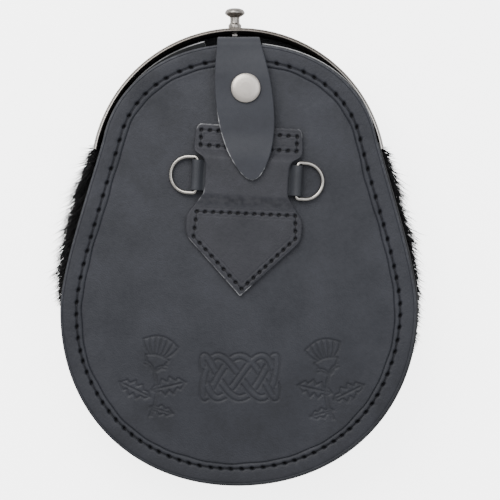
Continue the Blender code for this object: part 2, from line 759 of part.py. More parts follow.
def strap_patch():
    """Shaped leather patch, sewn at its head and point and bridged over the ring strap."""
    across_shares = (-1.0, -0.5, 0.0, 0.5, 1.0)
    shares, widths = zip(*PATCH_SHAPE)
    ramp = [0.5 * STRAP_WIDTH + STRAP_CLEARANCE + PATCH_RAMP * step for step in (0, 0.33, 0.67, 1)]
    stops = {share * PATCH_LENGTH for share in shares}
    stops |= {PATCH_HEAD - side * reach for side in (1, -1) for reach in ramp}
    loops = []
    for stop in sorted(stops):
        along = PATCH_HEAD - stop
        width = PATCH_HALF_WIDTH * float(np.interp(stop / PATCH_LENGTH, shares, widths))
        lift = patch_lift(along)
        under, over = [], []
        for share in across_shares:
            x, y = on_patch(share * width, along)
            face = BACK_TOP + rise(x, y) + lift
            under.append((x, y, face))
            over.append((x, y, face + PATCH_WALL))
        loops.append(under + over[::-1])
    return piece("strap_patch", loft(loops), black_leather)


LOOP_RADIUS = RING_WIRE_RADIUS + RING_CLEARANCE + 0.5 * STRAP_WALL
BAR_HEIGHT = GAP + 0.5 * STRAP_WALL + LOOP_RADIUS


def strap_path():
    """Middle of the folded strap as across and height: round one bar and back round the other."""
    bar = 0.5 * BAR_SPACING
    flat = GAP + STRAP_WALL + GAP + 0.5 * STRAP_WALL
    arc = [math.radians(turn) for turn in range(-90, 91, 30)]
    necks = np.linspace(0, 1, 5)[1:]
    path = [(bar + LOOP_RADIUS * math.cos(turn), BAR_HEIGHT + LOOP_RADIUS * math.sin(turn)) for turn in arc]
    for step in necks:
        path.append((bar - LOOP_NECK * step, flat + (BAR_HEIGHT + LOOP_RADIUS - flat) * (1 - ease(step))))
    path += [(0.35 * bar, flat), (-0.35 * bar, flat)]
    mirrored = [(-across, height) for across, height in path[:-2][::-1]]
    middle = [(-0.35 * bar, BAR_HEIGHT - LOOP_RADIUS), (0.35 * bar, BAR_HEIGHT - LOOP_RADIUS)]
    return path + mirrored + middle


def ring_strap():
    """Strap folded round both ring bars, lying under the patch."""
    path = strap_path()
    half = 0.5 * STRAP_WALL
    loops = []
    for place, (across, height) in enumerate(path):
        before = np.array(path[place - 1])
        after = np.array(path[(place + 1) % len(path)])
        along = (after - before) / np.linalg.norm(after - before)
        out = half * np.array([along[1], -along[0]])
        loop = []
        for side, edge in ((1, -1), (1, 1), (-1, 1), (-1, -1)):
            x, y = on_patch(across + side * out[0], edge * 0.5 * STRAP_WIDTH)
            loop.append((x, y, BACK_TOP + rise(x, y) + height + side * out[1]))
        loops.append(loop)
    return piece("ring_strap", loft(loops, closed=True), black_leather)


def ring_half_height():
    """Half the height of a ring's wire centre line, just wider than the strap."""
    return 0.5 * STRAP_WIDTH + RING_CLEARANCE + RING_WIRE_RADIUS


def ring_path():
    """Centre line of a D ring: its bar on Y and its bow towards +X."""
    half = ring_half_height()
    straight = RING_REACH - RING_WIRE_RADIUS - half
    path = [(0, 0)]
    for turn in (-90, -60, -30, 0):
        angle = math.radians(turn)
        path.append((RING_CORNER + RING_CORNER * math.sin(angle),
                     half - RING_CORNER + RING_CORNER * math.cos(angle)))
    for turn in range(90, -91, -15):
        angle = math.radians(turn)
        path.append((straight + half * math.cos(angle), half * math.sin(angle)))
    for turn in (0, 30, 60, 90):
        angle = math.radians(turn)
        path.append((RING_CORNER - RING_CORNER * math.sin(angle),
                     -half + RING_CORNER - RING_CORNER * math.cos(angle)))
    return path


def ring_mesh():
    """Round wire bent along the ring's centre line and brazed shut."""
    path = ring_path()
    loops = []
    for place in range(len(path)):
        before = np.array(path[place - 1])
        after = np.array(path[(place + 1) % len(path)])
        along = (after - before) / np.linalg.norm(after - before)
        loop = []
        for side in range(8):
            turn = 2 * math.pi * side / 8
            out = RING_WIRE_RADIUS * math.cos(turn)
            loop.append((path[place][0] - out * along[1], path[place][1] + out * along[0],
                         RING_WIRE_RADIUS * math.sin(turn)))
        loops.append(loop)
    return loft(loops, closed=True)


def on_panel(across, along, height):
    """Place at a height above the back panel's face, in the patch's frame."""
    x, y = on_patch(across, along)
    return Vector((x, y, BACK_TOP + rise(x, y) + height))


def ring(name, side):
    """D ring in one end of the strap, tipped down until its bow lies on the panel."""
    bar = side * 0.5 * BAR_SPACING
    reach = RING_REACH - RING_WIRE_RADIUS
    middle = on_panel(bar, 0, BAR_HEIGHT)
    upper_end = on_panel(bar, 0.5 * STRAP_WIDTH, BAR_HEIGHT)
    lower_end = on_panel(bar, -0.5 * STRAP_WIDTH, BAR_HEIGHT)
    bow = on_panel(bar + side * reach, 0, GAP + RING_WIRE_RADIUS)
    bar_axis = side * (upper_end - lower_end).normalized()
    face = (bow - middle).cross(bar_axis).normalized()
    turn = Matrix((bar_axis.cross(face), bar_axis, face)).transposed()
    return piece(name, ring_mesh(), nickel, place=middle, rotation=turn.to_euler())


def stand_on_origin():
    """Move the pouch so that the origin is the middle of its footprint."""
    bpy.context.view_layer.update()
    built = [item for item in pouch.children if not item.hide_render]
    corners = [item.matrix_world @ Vector(corner) for item in built for corner in item.bound_box]
    low_x = min(corner.x for corner in corners)
    high_x = max(corner.x for corner in corners)
    low_y = min(corner.y for corner in corners)
    high_y = max(corner.y for corner in corners)
    pouch.location = (-0.5 * (low_x + high_x), -0.5 * (low_y + high_y), 0)


for item in list(bpy.data.objects):
    bpy.data.objects.remove(item)

black_leather = material("black_leather", (0.065, 0.068, 0.078), 0.5)
black_fur = material("black_fur", (0.012, 0.012, 0.013), 0.7)
antique_steel = material("antique_steel", (0.30, 0.28, 0.26), 0.35, 1.0)
nickel = material("nickel", (0.62, 0.58, 0.54), 0.3, 1.0)

pouch = bpy.data.objects.new("pouch", None)
bpy.context.collection.objects.link(pouch)

cantle()
knob()
knob_nut()
front_panel()
fur_front()
gusset()
mouth_facing()
back_panel()
closure_tongue()
snap_cap()
snap_stud()
strap_patch()
ring_strap()
ring("ring_left", -1)
ring("ring_right", 1)
stand_on_origin()
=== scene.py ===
"""Sporran pouch lying face down on its fur, leather back up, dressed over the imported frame."""

import math

import bmesh
import bpy
import numpy as np
from mathutils import Matrix, Vector
from mathutils.geometry import interpolate_bezier


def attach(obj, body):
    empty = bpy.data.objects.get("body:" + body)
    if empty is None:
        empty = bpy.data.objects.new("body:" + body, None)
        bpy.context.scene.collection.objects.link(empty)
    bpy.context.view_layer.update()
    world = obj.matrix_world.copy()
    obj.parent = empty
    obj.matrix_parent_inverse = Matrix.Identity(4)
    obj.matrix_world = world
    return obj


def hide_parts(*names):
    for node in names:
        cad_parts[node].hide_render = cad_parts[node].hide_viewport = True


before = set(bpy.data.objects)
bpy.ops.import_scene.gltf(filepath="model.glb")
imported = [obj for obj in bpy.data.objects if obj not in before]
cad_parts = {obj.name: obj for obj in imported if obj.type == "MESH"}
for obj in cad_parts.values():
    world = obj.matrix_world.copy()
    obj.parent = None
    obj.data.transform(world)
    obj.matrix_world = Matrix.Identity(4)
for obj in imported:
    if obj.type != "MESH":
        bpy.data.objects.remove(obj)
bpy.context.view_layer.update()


# Camera
# The pouch is seen from straight above its leather back, a good metre away, with a long lens.

camera_data = bpy.data.cameras.new("overhead_camera")
camera_data.lens = 158.4
camera = bpy.data.objects.new("overhead_camera", camera_data)
camera.location = (0.0059, -0.0019, 1.1365)
bpy.context.collection.objects.link(camera)
bpy.context.scene.camera = camera


# Floor and light
# A plain white floor, a soft light above the pouch's upper left, a weaker one to its right, and an
# even pale surround. Floor and surround glow for the camera alone, so the ground behind stays white.


def feed(tree, socket, value):
    """Links a node's output to a socket, or sets the socket to a number or a colour of three numbers."""
    if isinstance(value, bpy.types.NodeSocket):
        tree.links.new(value, socket)
    elif isinstance(value, tuple):
        socket.default_value = (*value, 1.0)
    else:
        socket.default_value = value


def add_node(tree, kind, inputs=None, **settings):
    """Adds a shader node with its settings, and feeds its inputs."""
    made = tree.nodes.new(kind)
    for name, value in settings.items():
        setattr(made, name, value)
    for name, value in (inputs or {}).items():
        feed(tree, made.inputs[name], value)
    return made


def multiply_add(tree, first, second, third=0.0):
    """First times second plus third, each a number or a node's output."""
    inputs = {0: first, 1: second, 2: third}
    return add_node(tree, "ShaderNodeMath", inputs, operation="MULTIPLY_ADD").outputs[0]


def new_material(name, **inputs):
    """Material with one Principled shader. Its inputs are named with _ for a space."""
    material = bpy.data.materials.new(name)
    material.use_nodes = True
    tree = material.node_tree
    shader = tree.nodes["Principled BSDF"]
    for socket, value in inputs.items():
        feed(tree, shader.inputs[socket.replace("_", " ")], value)
    return material, tree, shader


def soft_light(name, place, size, watts, colour):
    """Square area light that looks at the pouch."""
    data = bpy.data.lights.new(name, "AREA")
    data.size = size
    data.energy = watts
    data.color = colour
    lamp = bpy.data.objects.new(name, data)
    lamp.location = place
    lamp.rotation_euler = (-Vector(place)).to_track_quat("-Z", "Y").to_euler()
    bpy.context.collection.objects.link(lamp)


def glow_for_camera(tree, socket, given_light, extra_glow):
    """Strength of the light that is given off, with an extra glow where the camera sees it."""
    seen = tree.nodes.new("ShaderNodeLightPath").outputs["Is Camera Ray"]
    feed(tree, socket, multiply_add(tree, seen, extra_glow, given_light))


soft_light("main_light", place=(-0.42, 0.72, 0.90), size=0.9, watts=17.0, colour=(1.0, 0.985, 0.96))
soft_light("second_light", place=(0.60, 0.30, 1.20), size=0.9, watts=6.0, colour=(0.93, 0.96, 1.0))

surround = bpy.data.worlds.new("pale_surround")
surround.use_nodes = True
sky = surround.node_tree.nodes["Background"].inputs
feed(surround.node_tree, sky["Color"], (0.97, 0.985, 1.0))
glow_for_camera(surround.node_tree, sky["Strength"], given_light=0.85, extra_glow=4.6)
bpy.context.scene.world = surround

floor_width = 4.0
floor_drop = 0.0003
pale_floor, floor_tree, floor_shader = new_material(
    "pale_floor", Base_Color=(0.93, 0.93, 0.93), Roughness=0.9, Emission_Color=(1.0, 1.0, 1.0))
glow_for_camera(floor_tree, floor_shader.inputs["Emission Strength"], given_light=0.0, extra_glow=3.8)
floor_bm = bmesh.new()
bmesh.ops.create_grid(floor_bm, x_segments=1, y_segments=1, size=0.5 * floor_width)
bmesh.ops.translate(floor_bm, verts=floor_bm.verts, vec=(0, 0, -floor_drop))
floor_mesh = bpy.data.meshes.new("floor")
floor_bm.to_mesh(floor_mesh)
floor_bm.free()
floor_mesh.materials.append(pale_floor)
floor = bpy.data.objects.new("floor", floor_mesh)
bpy.context.collection.objects.link(floor)


# Back panel
# One piece of black cowhide, crowned over the pouch, with a rounded edge, a stitch groove, a raised
# bead and a tooled crease. The lower part carries a blind-pressed ornament: a plaited knot between
# two thistle sprigs.
# Painted shade darkens its stitch holes, pressed lines and lower part; a painted highlight runs along its
# upper edge.

millimetre = 0.001
panel_half_width = 0.0892
widest_to_top = 0.1327
widest_to_bottom = 0.0883
panel_lean = 0.009
panel_x = 0.00007
panel_y = -0.031386
panel_face = 0.0365
panel_wall = 0.0025
crown_height = 0.0025
crown_middle = 0.0222
crown_half_width = 0.0750
crown_half_height = 0.0963
stitch_inset = 0.0082
stitch_count = 94
pitch_swing = 0.15
steps_in_stitch = 12
panel_section = [
    # millimetres inside the edge, and above the face
    (0.0, -0.95), (0.1, -0.6), (0.32, -0.28), (0.65, -0.09), (0.95, -0.01), (1.15, -0.08), (1.3, -0.24),
    (1.45, -0.08), (1.75, 0.02), (2.8, 0.08), (4.6, 0.08), (6.3, 0.03), (7.1, -0.04), (7.5, -0.14),
    (7.75, -0.34), (7.95, -0.58), (8.2, -0.7), (8.4, -0.56), (8.58, -0.24), (8.8, 0.06), (9.1, 0.24),
    (9.5, 0.3), (9.9, 0.26), (10.3, 0.12), (10.58, -0.1), (10.74, -0.42), (10.84, -0.5), (10.94, -0.4),
    (11.12, -0.12), (11.5, -0.02), (12.2, 0.0), (13.2, 0.0),
]


def panel_outline():
    """Edge of the back panel, counter-clockwise from the bottom centre and back to it."""
    shoulder_lean = math.radians(13.5)
    bottom = Vector((0, -widest_to_bottom))
    side = Vector((panel_half_width, 0))
    shoulder = Vector((0.76 * panel_half_width, 0.6625 * widest_to_top))
    top = Vector((0, widest_to_top))
    up_shoulder = Vector((-math.sin(shoulder_lean), math.cos(shoulder_lean)))
    spans = [
        (bottom, bottom + Vector((0.566 * panel_half_width, 0)),
         side - Vector((0, 0.61 * widest_to_bottom)), side),
        (side, side + Vector((0, 0.156 * widest_to_top)),
         shoulder - 0.165 * widest_to_top * up_shoulder, shoulder),
        (shoulder, shoulder + 0.17 * widest_to_top * up_shoulder,
         top + Vector((0.4625 * panel_half_width, 0)), top),
    ]
    right = []
    for knot, handle, next_handle, next_knot in spans:
        right += interpolate_bezier(knot, handle, next_handle, next_knot, 81)[:-1]
    right = np.array([tuple(point) for point in right + [top]])
    edge = np.vstack([right, right[-2::-1] * (-1, 1)])
    edge[:, 0] += panel_lean * edge[:, 1]
    return edge + (panel_x, panel_y)


edge_line = panel_outline()
edge_run = np.concatenate([[0], np.cumsum(np.linalg.norm(np.diff(edge_line, axis=0), axis=1))])
edge_share = edge_run / edge_run[-1]


def edge_place(share):
    """Point of the edge at a share of the way round."""
    turn = np.mod(share, 1.0)
    return np.array([np.interp(turn, edge_share, edge_line[:, 0]),
                     np.interp(turn, edge_share, edge_line[:, 1])])


def edge_outward(share):
    """Direction straight out of the edge."""
    step = 0.004
    along = edge_place(share + step) - edge_place(share - step)
    along /= np.linalg.norm(along)
    return np.array([along[1], -along[0]])


def inside_edge(share, inset):
    """Point at a distance inside the edge."""
    return edge_place(share) - inset * edge_outward(share)


def crown(x, y):
    """How far the crowned back stands above its edge at a place."""
    across = ((x - panel_x) / crown_half_width) ** 2
    along = ((y - panel_y - crown_middle) / crown_half_height) ** 2
    return crown_height * np.maximum(0.0, 1.0 - across - along)


def ease(step):
    """Smooth way from 0 to 1 as the step goes from 0 to 1."""
    held = np.clip(step, 0.0, 1.0)
    return held * held * (3.0 - 2.0 * held)


def wander(share, size, waves=(3, 7, 13)):
    """Slow waver of a line tooled by hand, as a distance."""
    turn = 2 * math.pi * share
    return size * sum(math.sin(wave * turn + wave) for wave in waves) / len(waves)


def distance_to(points, line):
    """Distance from each point to a line of short straight pieces, and where along the line it is."""
    nearest = np.full(len(points), 1.0)
    along = np.zeros(len(points))
    for place, (start, end) in enumerate(zip(line[:-1], line[1:])):
        span = end - start
        share = np.clip((points - start) @ span / max(span @ span, 1e-12), 0, 1)
        gap = np.linalg.norm(points - start - share[:, None] * span, axis=1)
        closer = gap < nearest
        nearest[closer] = gap[closer]
        along[closer] = place + share[closer]
    return nearest, along


def curl(start, end, bow, count=14):
    """Bowed line between two points."""
    start, end = np.array(start), np.array(end)
    side = np.array([start[1] - end[1], end[0] - start[0]])
    return np.array([start + (end - start) * step + side * bow * math.sin(math.pi * step)
                     for step in np.linspace(0, 1, count)])


def toothed_leaf(root, tip, width, teeth):
    """Two toothed edges of a thistle leaf, and its rib."""
    root, tip = np.array(root), np.array(tip)
    side = np.array([root[1] - tip[1], tip[0] - root[0]])
    lines = [np.array([root, tip])]
    for hand in (-1, 1):
        edge = [root]
        for tooth in range(teeth):
            for step, reach in ((0.15, 1.0), (0.75, 0.45)):
                along = (tooth + step + 0.35) / (teeth + 0.35)
                swell = math.sin(math.pi * min(along, 0.96)) ** 0.8
                edge.append(root + (tip - root) * along + hand * width * side * swell * reach)
        lines.append(np.array(edge + [tip]))
    return lines


def thistle_sprig():
    """Lines of a thistle with its cup, crown, stem and leaves, in millimetres about its own middle."""
    cup = [curl((-6.0, 4.5), (6.0, 4.5), -0.62), curl((-6.0, 4.5), (6.0, 4.5), 0.1)]
    scales = [curl((side * 5.2, 1.5 - 1.6 * row), (0, -2.2 - 0.9 * row), -side * 0.12)
              for row in range(2) for side in (-1, 1)]
    spikes = []
    for place in np.linspace(-1, 1, 7):
        foot = (4.6 * place, 5.6)
        tip = (9.0 * place, 15.0 - 3.2 * place * place)
        spikes.append(curl(foot, tip, -0.08 * place, 8))
    crown_line = [curl((-9.0, 11.8), (9.0, 11.8), 0.19)]
    stem = [curl((0.0, -3.2), (3.2, -25.0), 0.1), curl((0.9, -3.2), (4.3, -24.6), 0.1)]
    leaves = toothed_leaf((1.2, -12.0), (17.0, -4.0), 0.26, 4)
    leaves += toothed_leaf((1.0, -15.5), (-15.5, -12.0), 0.26, 4)
    leaves += toothed_leaf((2.4, -20.5), (14.5, -21.0), 0.22, 3)
    return cup + scales + spikes + crown_line + stem + leaves


def plaited_knot(points, half_width, half_height, band, groove):
    """How far each point is from the two lines of an interlaced band, over and under by turns."""
    count = 900
    turn = np.linspace(0, 2 * math.pi, count + 1)
    line = np.stack([half_width * np.sin(2 * turn + 0.02), half_height * np.sin(5 * turn + 0.05)], axis=1)
    start, span = line[:-1], np.diff(line, axis=0)
    crossings = []
    for first in range(count):
        gap = start - start[first]
        cross = span[first, 0] * span[:, 1] - span[first, 1] * span[:, 0]
        cross[np.abs(cross) < 1e-15] = np.inf
        here = (gap[:, 0] * span[:, 1] - gap[:, 1] * span[:, 0]) / cross
        there = (gap[:, 0] * span[first, 1] - gap[:, 1] * span[first, 0]) / cross
        met = (here >= 0) & (here < 1) & (there >= 0) & (there < 1)
        met[[first, (first + 1) % count, first - 1]] = False
        if met.any():
            crossings.append(first)
    breaks = [(before + after) // 2 for before, after in zip(crossings[:-1], crossings[1:])]
    arcs = [line[low:high + 1] for low, high in zip(breaks[:-1], breaks[1:])]
    arcs.append(np.vstack([line[breaks[-1]:-1], line[:breaks[0] + 1]]))
    nearest = {0: np.full(len(points), 1.0), 1: np.full(len(points), 1.0)}
    for place, arc in enumerate(arcs):
        gap, along = distance_to(points, arc)
        gap[(along <= 0) | (along >= len(arc) - 1)] = 1.0
        nearest[place % 2] = np.minimum(nearest[place % 2], gap)
    over, under = nearest[0], nearest[1]
    shown = np.where(over < 0.5 * band + groove, over, under)
    return np.abs(shown - 0.5 * band)


def pressed_ornament(points):
    """Depth of the pressed ornament at each point of the panel, as a share of its full depth."""
    line_width = 0.0009
    knot_place = np.array([0.0008, -0.0655])
    sprig_place = {-1: np.array([-0.0415, -0.0600]), 1: np.array([0.0450, -0.0615])}
    sprig_tilt = math.radians(14)
    to_knot = plaited_knot(points - knot_place, half_width=0.0185, half_height=0.0105, band=0.0030,
                           groove=line_width)
    depth = 1 - ease(to_knot / line_width)
    for side, place in sprig_place.items():
        tilt = Matrix.Rotation(side * sprig_tilt, 2)
        for line in thistle_sprig():
            laid = np.array([tilt @ Vector((-side * x, y)) for x, y in line]) * millimetre + place
            reach = 0.5 * np.ptp(laid, axis=0).sum() + 0.003
            near = np.linalg.norm(points - laid.mean(axis=0), axis=1) < reach
            gap, _ = distance_to(points[near], laid)
            depth[near] = np.maximum(depth[near], 1 - ease(gap / line_width))
    return depth


def noise(tree, scale, detail, roughness=0.5):
    """Clouded value in the object's own coordinates."""
    place = tree.nodes.new("ShaderNodeTexCoord").outputs["Object"]
    inputs = {"Vector": place, "Scale": scale, "Detail": detail, "Roughness": roughness}
    return add_node(tree, "ShaderNodeTexNoise", inputs).outputs[0]


def remap(tree, value, from_low=0.0, from_high=1.0, to_low=0.0, to_high=1.0):
    """Value carried from one range over to another, and held inside it."""
    ends = {"From Min": from_low, "From Max": from_high, "To Min": to_low, "To Max": to_high}
    return add_node(tree, "ShaderNodeMapRange", {"Value": value, **ends}).outputs["Result"]


def mix_colours(tree, share, low, high):
    """Colour between two colours. Each colour is three numbers or a node's output."""
    return add_node(tree, "ShaderNodeMix", {0: share, 6: low, 7: high}, data_type="RGBA").outputs[2]


def painted(tree, mark):
    """Value of a mark that is painted on the mesh."""
    return add_node(tree, "ShaderNodeAttribute", attribute_name=mark).outputs["Fac"]


def dress_shader(tree, shader, colour, relief, strength, depth):
    """Gives a shader its colour, and a bump from its fine relief."""
    bump = add_node(tree, "ShaderNodeBump", {"Height": relief, "Strength": strength, "Distance": depth})
    feed(tree, shader.inputs["Base Color"], colour)
    feed(tree, shader.inputs["Normal"], bump.outputs["Normal"])


def leather_grain_group():
    """Shader group for dyed cowhide: soft clouds of tone and a fine pebbled grain."""
    group = bpy.data.node_groups.new("leather_grain", "ShaderNodeTree")
    for name, way in (("Grain scale", "INPUT"), ("Tone", "OUTPUT"), ("Grain", "OUTPUT")):
        group.interface.new_socket(name, in_out=way, socket_type="NodeSocketFloat")
    place = group.nodes.new("ShaderNodeTexCoord").outputs["Object"]
    scale = group.nodes.new("NodeGroupInput").outputs["Grain scale"]
    pebbles = add_node(group, "ShaderNodeTexVoronoi", {"Vector": place, "Scale": scale, "Smoothness": 0.6},
                       feature="SMOOTH_F1")
    clouds = noise(group, 45.0, 5.0, 0.55)
    specks = noise(group, 420.0, 3.0, 0.6)
    tone = remap(group, multiply_add(group, specks, 0.45, clouds), from_low=0.45)
    grain = multiply_add(group, noise(group, 2600.0, 2.0), 0.5, pebbles.outputs["Distance"])
    add_node(group, "NodeGroupOutput", {"Tone": tone, "Grain": grain})
    return group


leather_grain = leather_grain_group()
# Black for painted shade: stitch holes, pressed lines and the back panel's hem are darkened with it.
painted_shade_black = (0.003, 0.003, 0.004)


def leather(name, deep, pale, painted_highlight, grain_scale, grain_depth, rough=0.60, shine=0.3, highlight_least=0.1):
    """Dyed leather in two clouded tones with a pebbled grain, painted shade in black, and a painted edge
    highlight in patches.
    """
    material, tree, shader = new_material(name, Specular_IOR_Level=shine)
    grain = add_node(tree, "ShaderNodeGroup", {"Grain scale": grain_scale}, node_tree=leather_grain).outputs
    # Painted highlight: a pale colour mixed in where the edge mark says, broken into patches.
    patches = remap(tree, noise(tree, 330.0, 2.0), from_low=0.36, from_high=0.62, to_low=highlight_least)
    highlight_amount = multiply_add(tree, painted(tree, "painted_highlight"), patches)
    colour = mix_colours(tree, grain["Tone"], deep, pale)
    colour = mix_colours(tree, highlight_amount, colour, painted_highlight)
    # Painted shade: black mixed in where the hole mark says.
    colour = mix_colours(tree, painted(tree, "hole"), colour, painted_shade_black)
    swing = 0.07
    polish = remap(tree, grain["Tone"], to_low=rough + swing, to_high=rough - swing)
    feed(tree, shader.inputs["Roughness"], polish)
    dress_shader(tree, shader, colour, grain["Grain"], strength=0.55, depth=grain_depth)
    return material


back_leather = leather("back_leather", deep=(0.0152, 0.0162, 0.0208), pale=(0.0272, 0.0286, 0.0362),
                       painted_highlight=(0.05, 0.052, 0.06), grain_scale=1150.0, grain_depth=0.00016)


def hand_over(name, mesh, material, nodes=(), body="pouch"):
    """Makes a mesh a smooth-shaded object that rides on its body and stands for its CAD nodes."""
    mesh.polygons.foreach_set("use_smooth", [True] * len(mesh.polygons))
    mesh.materials.append(material)
    made = bpy.data.objects.new(name, mesh)
    bpy.context.collection.objects.link(made)
    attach(made, body)
    if nodes:
        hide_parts(*nodes)


def finish_piece(name, bm, material, finish, nodes=(), body="pouch", sharp=50, marks=None):
    """Paints marks on a bmesh by place, and hands it over with its edges sharp past an angle."""
    for mark, value_at in (marks or {}).items():
        layer = bm.verts.layers.float.new(mark)
        for vertex in bm.verts:
            vertex[layer] = value_at(vertex.co)
    mesh = bpy.data.meshes.new(name)
    bm.to_mesh(mesh)
    bm.free()
    hand_over(name, mesh, material, nodes, body)
    mesh.set_sharp_from_angle(angle=math.radians(sharp))


def ring_inside(bm, face, shares, place):
    """Insets a many-sided face by one ring and puts the ring's points where place(share) says."""
    bmesh.ops.inset_region(bm, faces=[face], thickness=0.1 * millimetre, use_even_offset=True,
                           use_boundary=True)
    for vertex, share in zip(face.verts, shares):
        vertex.co = place(share)
    return face


def cut_in_squares(bm, faces, low, high, step):
    """Cuts faces along a square grid of planes between two corners."""
    for axis in (0, 1):
        normal = Vector((1, 0, 0)) if axis == 0 else Vector((0, 1, 0))
        for place in np.arange(low[axis], high[axis] + 0.5 * step, step):
            geometry = set(faces)
            for face in faces:
                geometry |= set(face.edges) | set(face.verts)
            point = Vector((0, 0, 0))
            point[axis] = place
            cut = bmesh.ops.bisect_plane(bm, geom=list(geometry), plane_co=point, plane_no=normal)
            faces = list({item for item in cut["geom"] if isinstance(item, bmesh.types.BMFace)})
    return faces


def dent_holes(bm, holes, alongs, long_axis, short_axis, slant, depth, reach=0.002):
    """Presses slanted stitch holes into the leather, and darkens them with painted shade."""
    mark = bm.verts.layers.float["hole"]
    places = np.array([vertex.co[:2] for vertex in bm.verts])
    vertices = list(bm.verts)
    facing = [vertex.normal.z > 0.3 for vertex in vertices]
    for hole, along in zip(holes, alongs):
        near = np.nonzero(np.abs(places - hole[:2]).max(axis=1) < reach)[0]
        turned = Matrix.Rotation(slant, 2) @ Vector(along).normalized()
        for index in near:
            if not facing[index]:
                continue
            gap = Vector(places[index] - hole[:2])
            reach_long = gap.dot(turned) / long_axis
            reach_short = (gap.x * turned.y - gap.y * turned.x) / short_axis
            inside = 1 - ease(math.hypot(reach_long, reach_short) - 0.35)
            vertices[index].co.z -= depth * inside
            vertices[index][mark] = max(vertices[index][mark], inside)


def seam_sway(share, inset):
    """How far a tooled line wanders from its even distance inside the edge."""
    slow = wander(share, 0.00025) * ease((inset - 0.006) / 0.003)
    return slow + wander(share, 0.0004, (11, 19, 37)) * ease((inset - 0.0098) / 0.0008)


def lower_part(y):
    """0 over the upper part of the panel and 1 at its hem."""
    return float(ease((panel_y + 0.025 - y) / 0.085))


panel_stations = stitch_count * steps_in_stitch
# Strengths of the painted shade at the edge, the border and the field, and of the painted edge highlight.
edge_shade, border_shade, field_shade = 0.6, 0.26, 0.16
edge_painted_highlight = 0.55
panel_shares = [station / panel_stations for station in range(panel_stations)]
panel_bm = bmesh.new()
# Marks for painted shade and painted highlight.
panel_shade_mark = panel_bm.verts.layers.float.new("hole")
panel_highlight_mark = panel_bm.verts.layers.float.new("painted_highlight")
edge_height = panel_face - 0.7 * panel_wall
lower_edge = [panel_bm.verts.new((*edge_place(share), edge_height)) for share in panel_shares]
top_face = panel_bm.faces.new(lower_edge)
under_face = top_face.copy()
under_face.normal_flip()
under_shares = panel_shares[:1] + panel_shares[:0:-1]
for inset in (0.0007, 0.0095, 0.020, 0.045):
    def on_under_ring(share):
        """Point of this ring of the underside."""
        return (*inside_edge(share, inset), panel_face - panel_wall)

    under_face = ring_inside(panel_bm, under_face, under_shares, on_under_ring)
for inset, lift in panel_section:
    inset *= millimetre
    lift *= millimetre

    def on_ring(share):
        """Point of this ring of the section."""
        return (*inside_edge(share, inset + seam_sway(share, inset)), panel_face + lift)

    top_face = ring_inside(panel_bm, top_face, panel_shares, on_ring)
    # Painted shade on the edge and border towards the hem; painted highlight on the upper rounded edge.
    shade = edge_shade if inset < 0.0005 else border_shade if inset < stitch_inset else 0.0
    light = edge_painted_highlight if 0.0003 < inset < 0.001 else 0.0
    for vertex in top_face.verts:
        low = lower_part(vertex.co.y)
        vertex[panel_shade_mark] = shade * low
        vertex[panel_highlight_mark] = light * (1 - low)

square = 0.004
inner_squares = cut_in_squares(panel_bm, [top_face], (-0.080, -0.108), (0.080, 0.092), square)
ornament_low, ornament_high = Vector((-0.064, -0.092)), Vector((0.068, -0.040))
ornament_cuts = 9
ornament_edges = set()
for face in inner_squares:
    middle = face.calc_center_median()
    in_zone = (ornament_low.x < middle.x < ornament_high.x and ornament_low.y < middle.y < ornament_high.y)
    whole = len(face.verts) == 4 and face.calc_area() > 0.98 * square ** 2
    if in_zone and whole:
        ornament_edges |= set(face.edges)
bmesh.ops.subdivide_edges(panel_bm, edges=list(ornament_edges), cuts=ornament_cuts, use_grid_fill=True)
panel_bm.normal_update()
ornament_depth = 0.00050
ornament_shade = 0.28
zone = [vertex for vertex in panel_bm.verts
        if vertex.normal.z > 0.5 and ornament_low.y < vertex.co.y < ornament_high.y
        and ornament_low.x < vertex.co.x < ornament_high.x]
pressed = pressed_ornament(np.array([vertex.co[:2] for vertex in zone]))
# Painted shade in the pressed lines, on top of their dent.
for vertex, share in zip(zone, pressed):
    vertex.co.z -= ornament_depth * share
    vertex[panel_shade_mark] = ornament_shade * share
seam_chance = np.random.default_rng(5)
seam_shares = []
for stitch in range(stitch_count):
    even = (stitch + 0.5 + seam_chance.normal(0, 0.05)) / stitch_count
    seam_shares.append(even - pitch_swing * math.sin(2 * math.pi * even) / (2 * math.pi))
seam_holes = [inside_edge(share, stitch_inset + seam_sway(share, stitch_inset)) for share in seam_shares]
seam_alongs = [np.array([-edge_outward(share)[1], edge_outward(share)[0]]) for share in seam_shares]
dent_holes(panel_bm, seam_holes, seam_alongs, long_axis=0.00135, short_axis=0.00088,
           slant=math.radians(-26), depth=0.0012)
# Painted shade: the whole panel darker towards the hem.
for vertex in panel_bm.verts:
    vertex[panel_shade_mark] = max(vertex[panel_shade_mark], field_shade * lower_part(vertex.co.y))
    vertex.co.z += crown(vertex.co.x, vertex.co.y)
bmesh.ops.remove_doubles(panel_bm, verts=panel_bm.verts, dist=1e-6)
finish_piece("back_panel_leather", panel_bm, back_leather, "black_leather", ["back_panel"], sharp=60)


# Back panel seam
# Waxed black thread in a saddle stitch, lying in the groove and going down through a slanted hole
# at each end.

waxed_thread, thread_tree, thread_shader = new_material("waxed_thread", Roughness=0.6, Specular_IOR_Level=0.2)
thread_twist = noise(thread_tree, 1900.0, 2.0)
thread_colour = mix_colours(thread_tree, thread_twist, (0.007, 0.007, 0.009), (0.016, 0.016, 0.019))
dress_shader(thread_tree, thread_shader, thread_colour, thread_twist, strength=0.5, depth=0.0001)


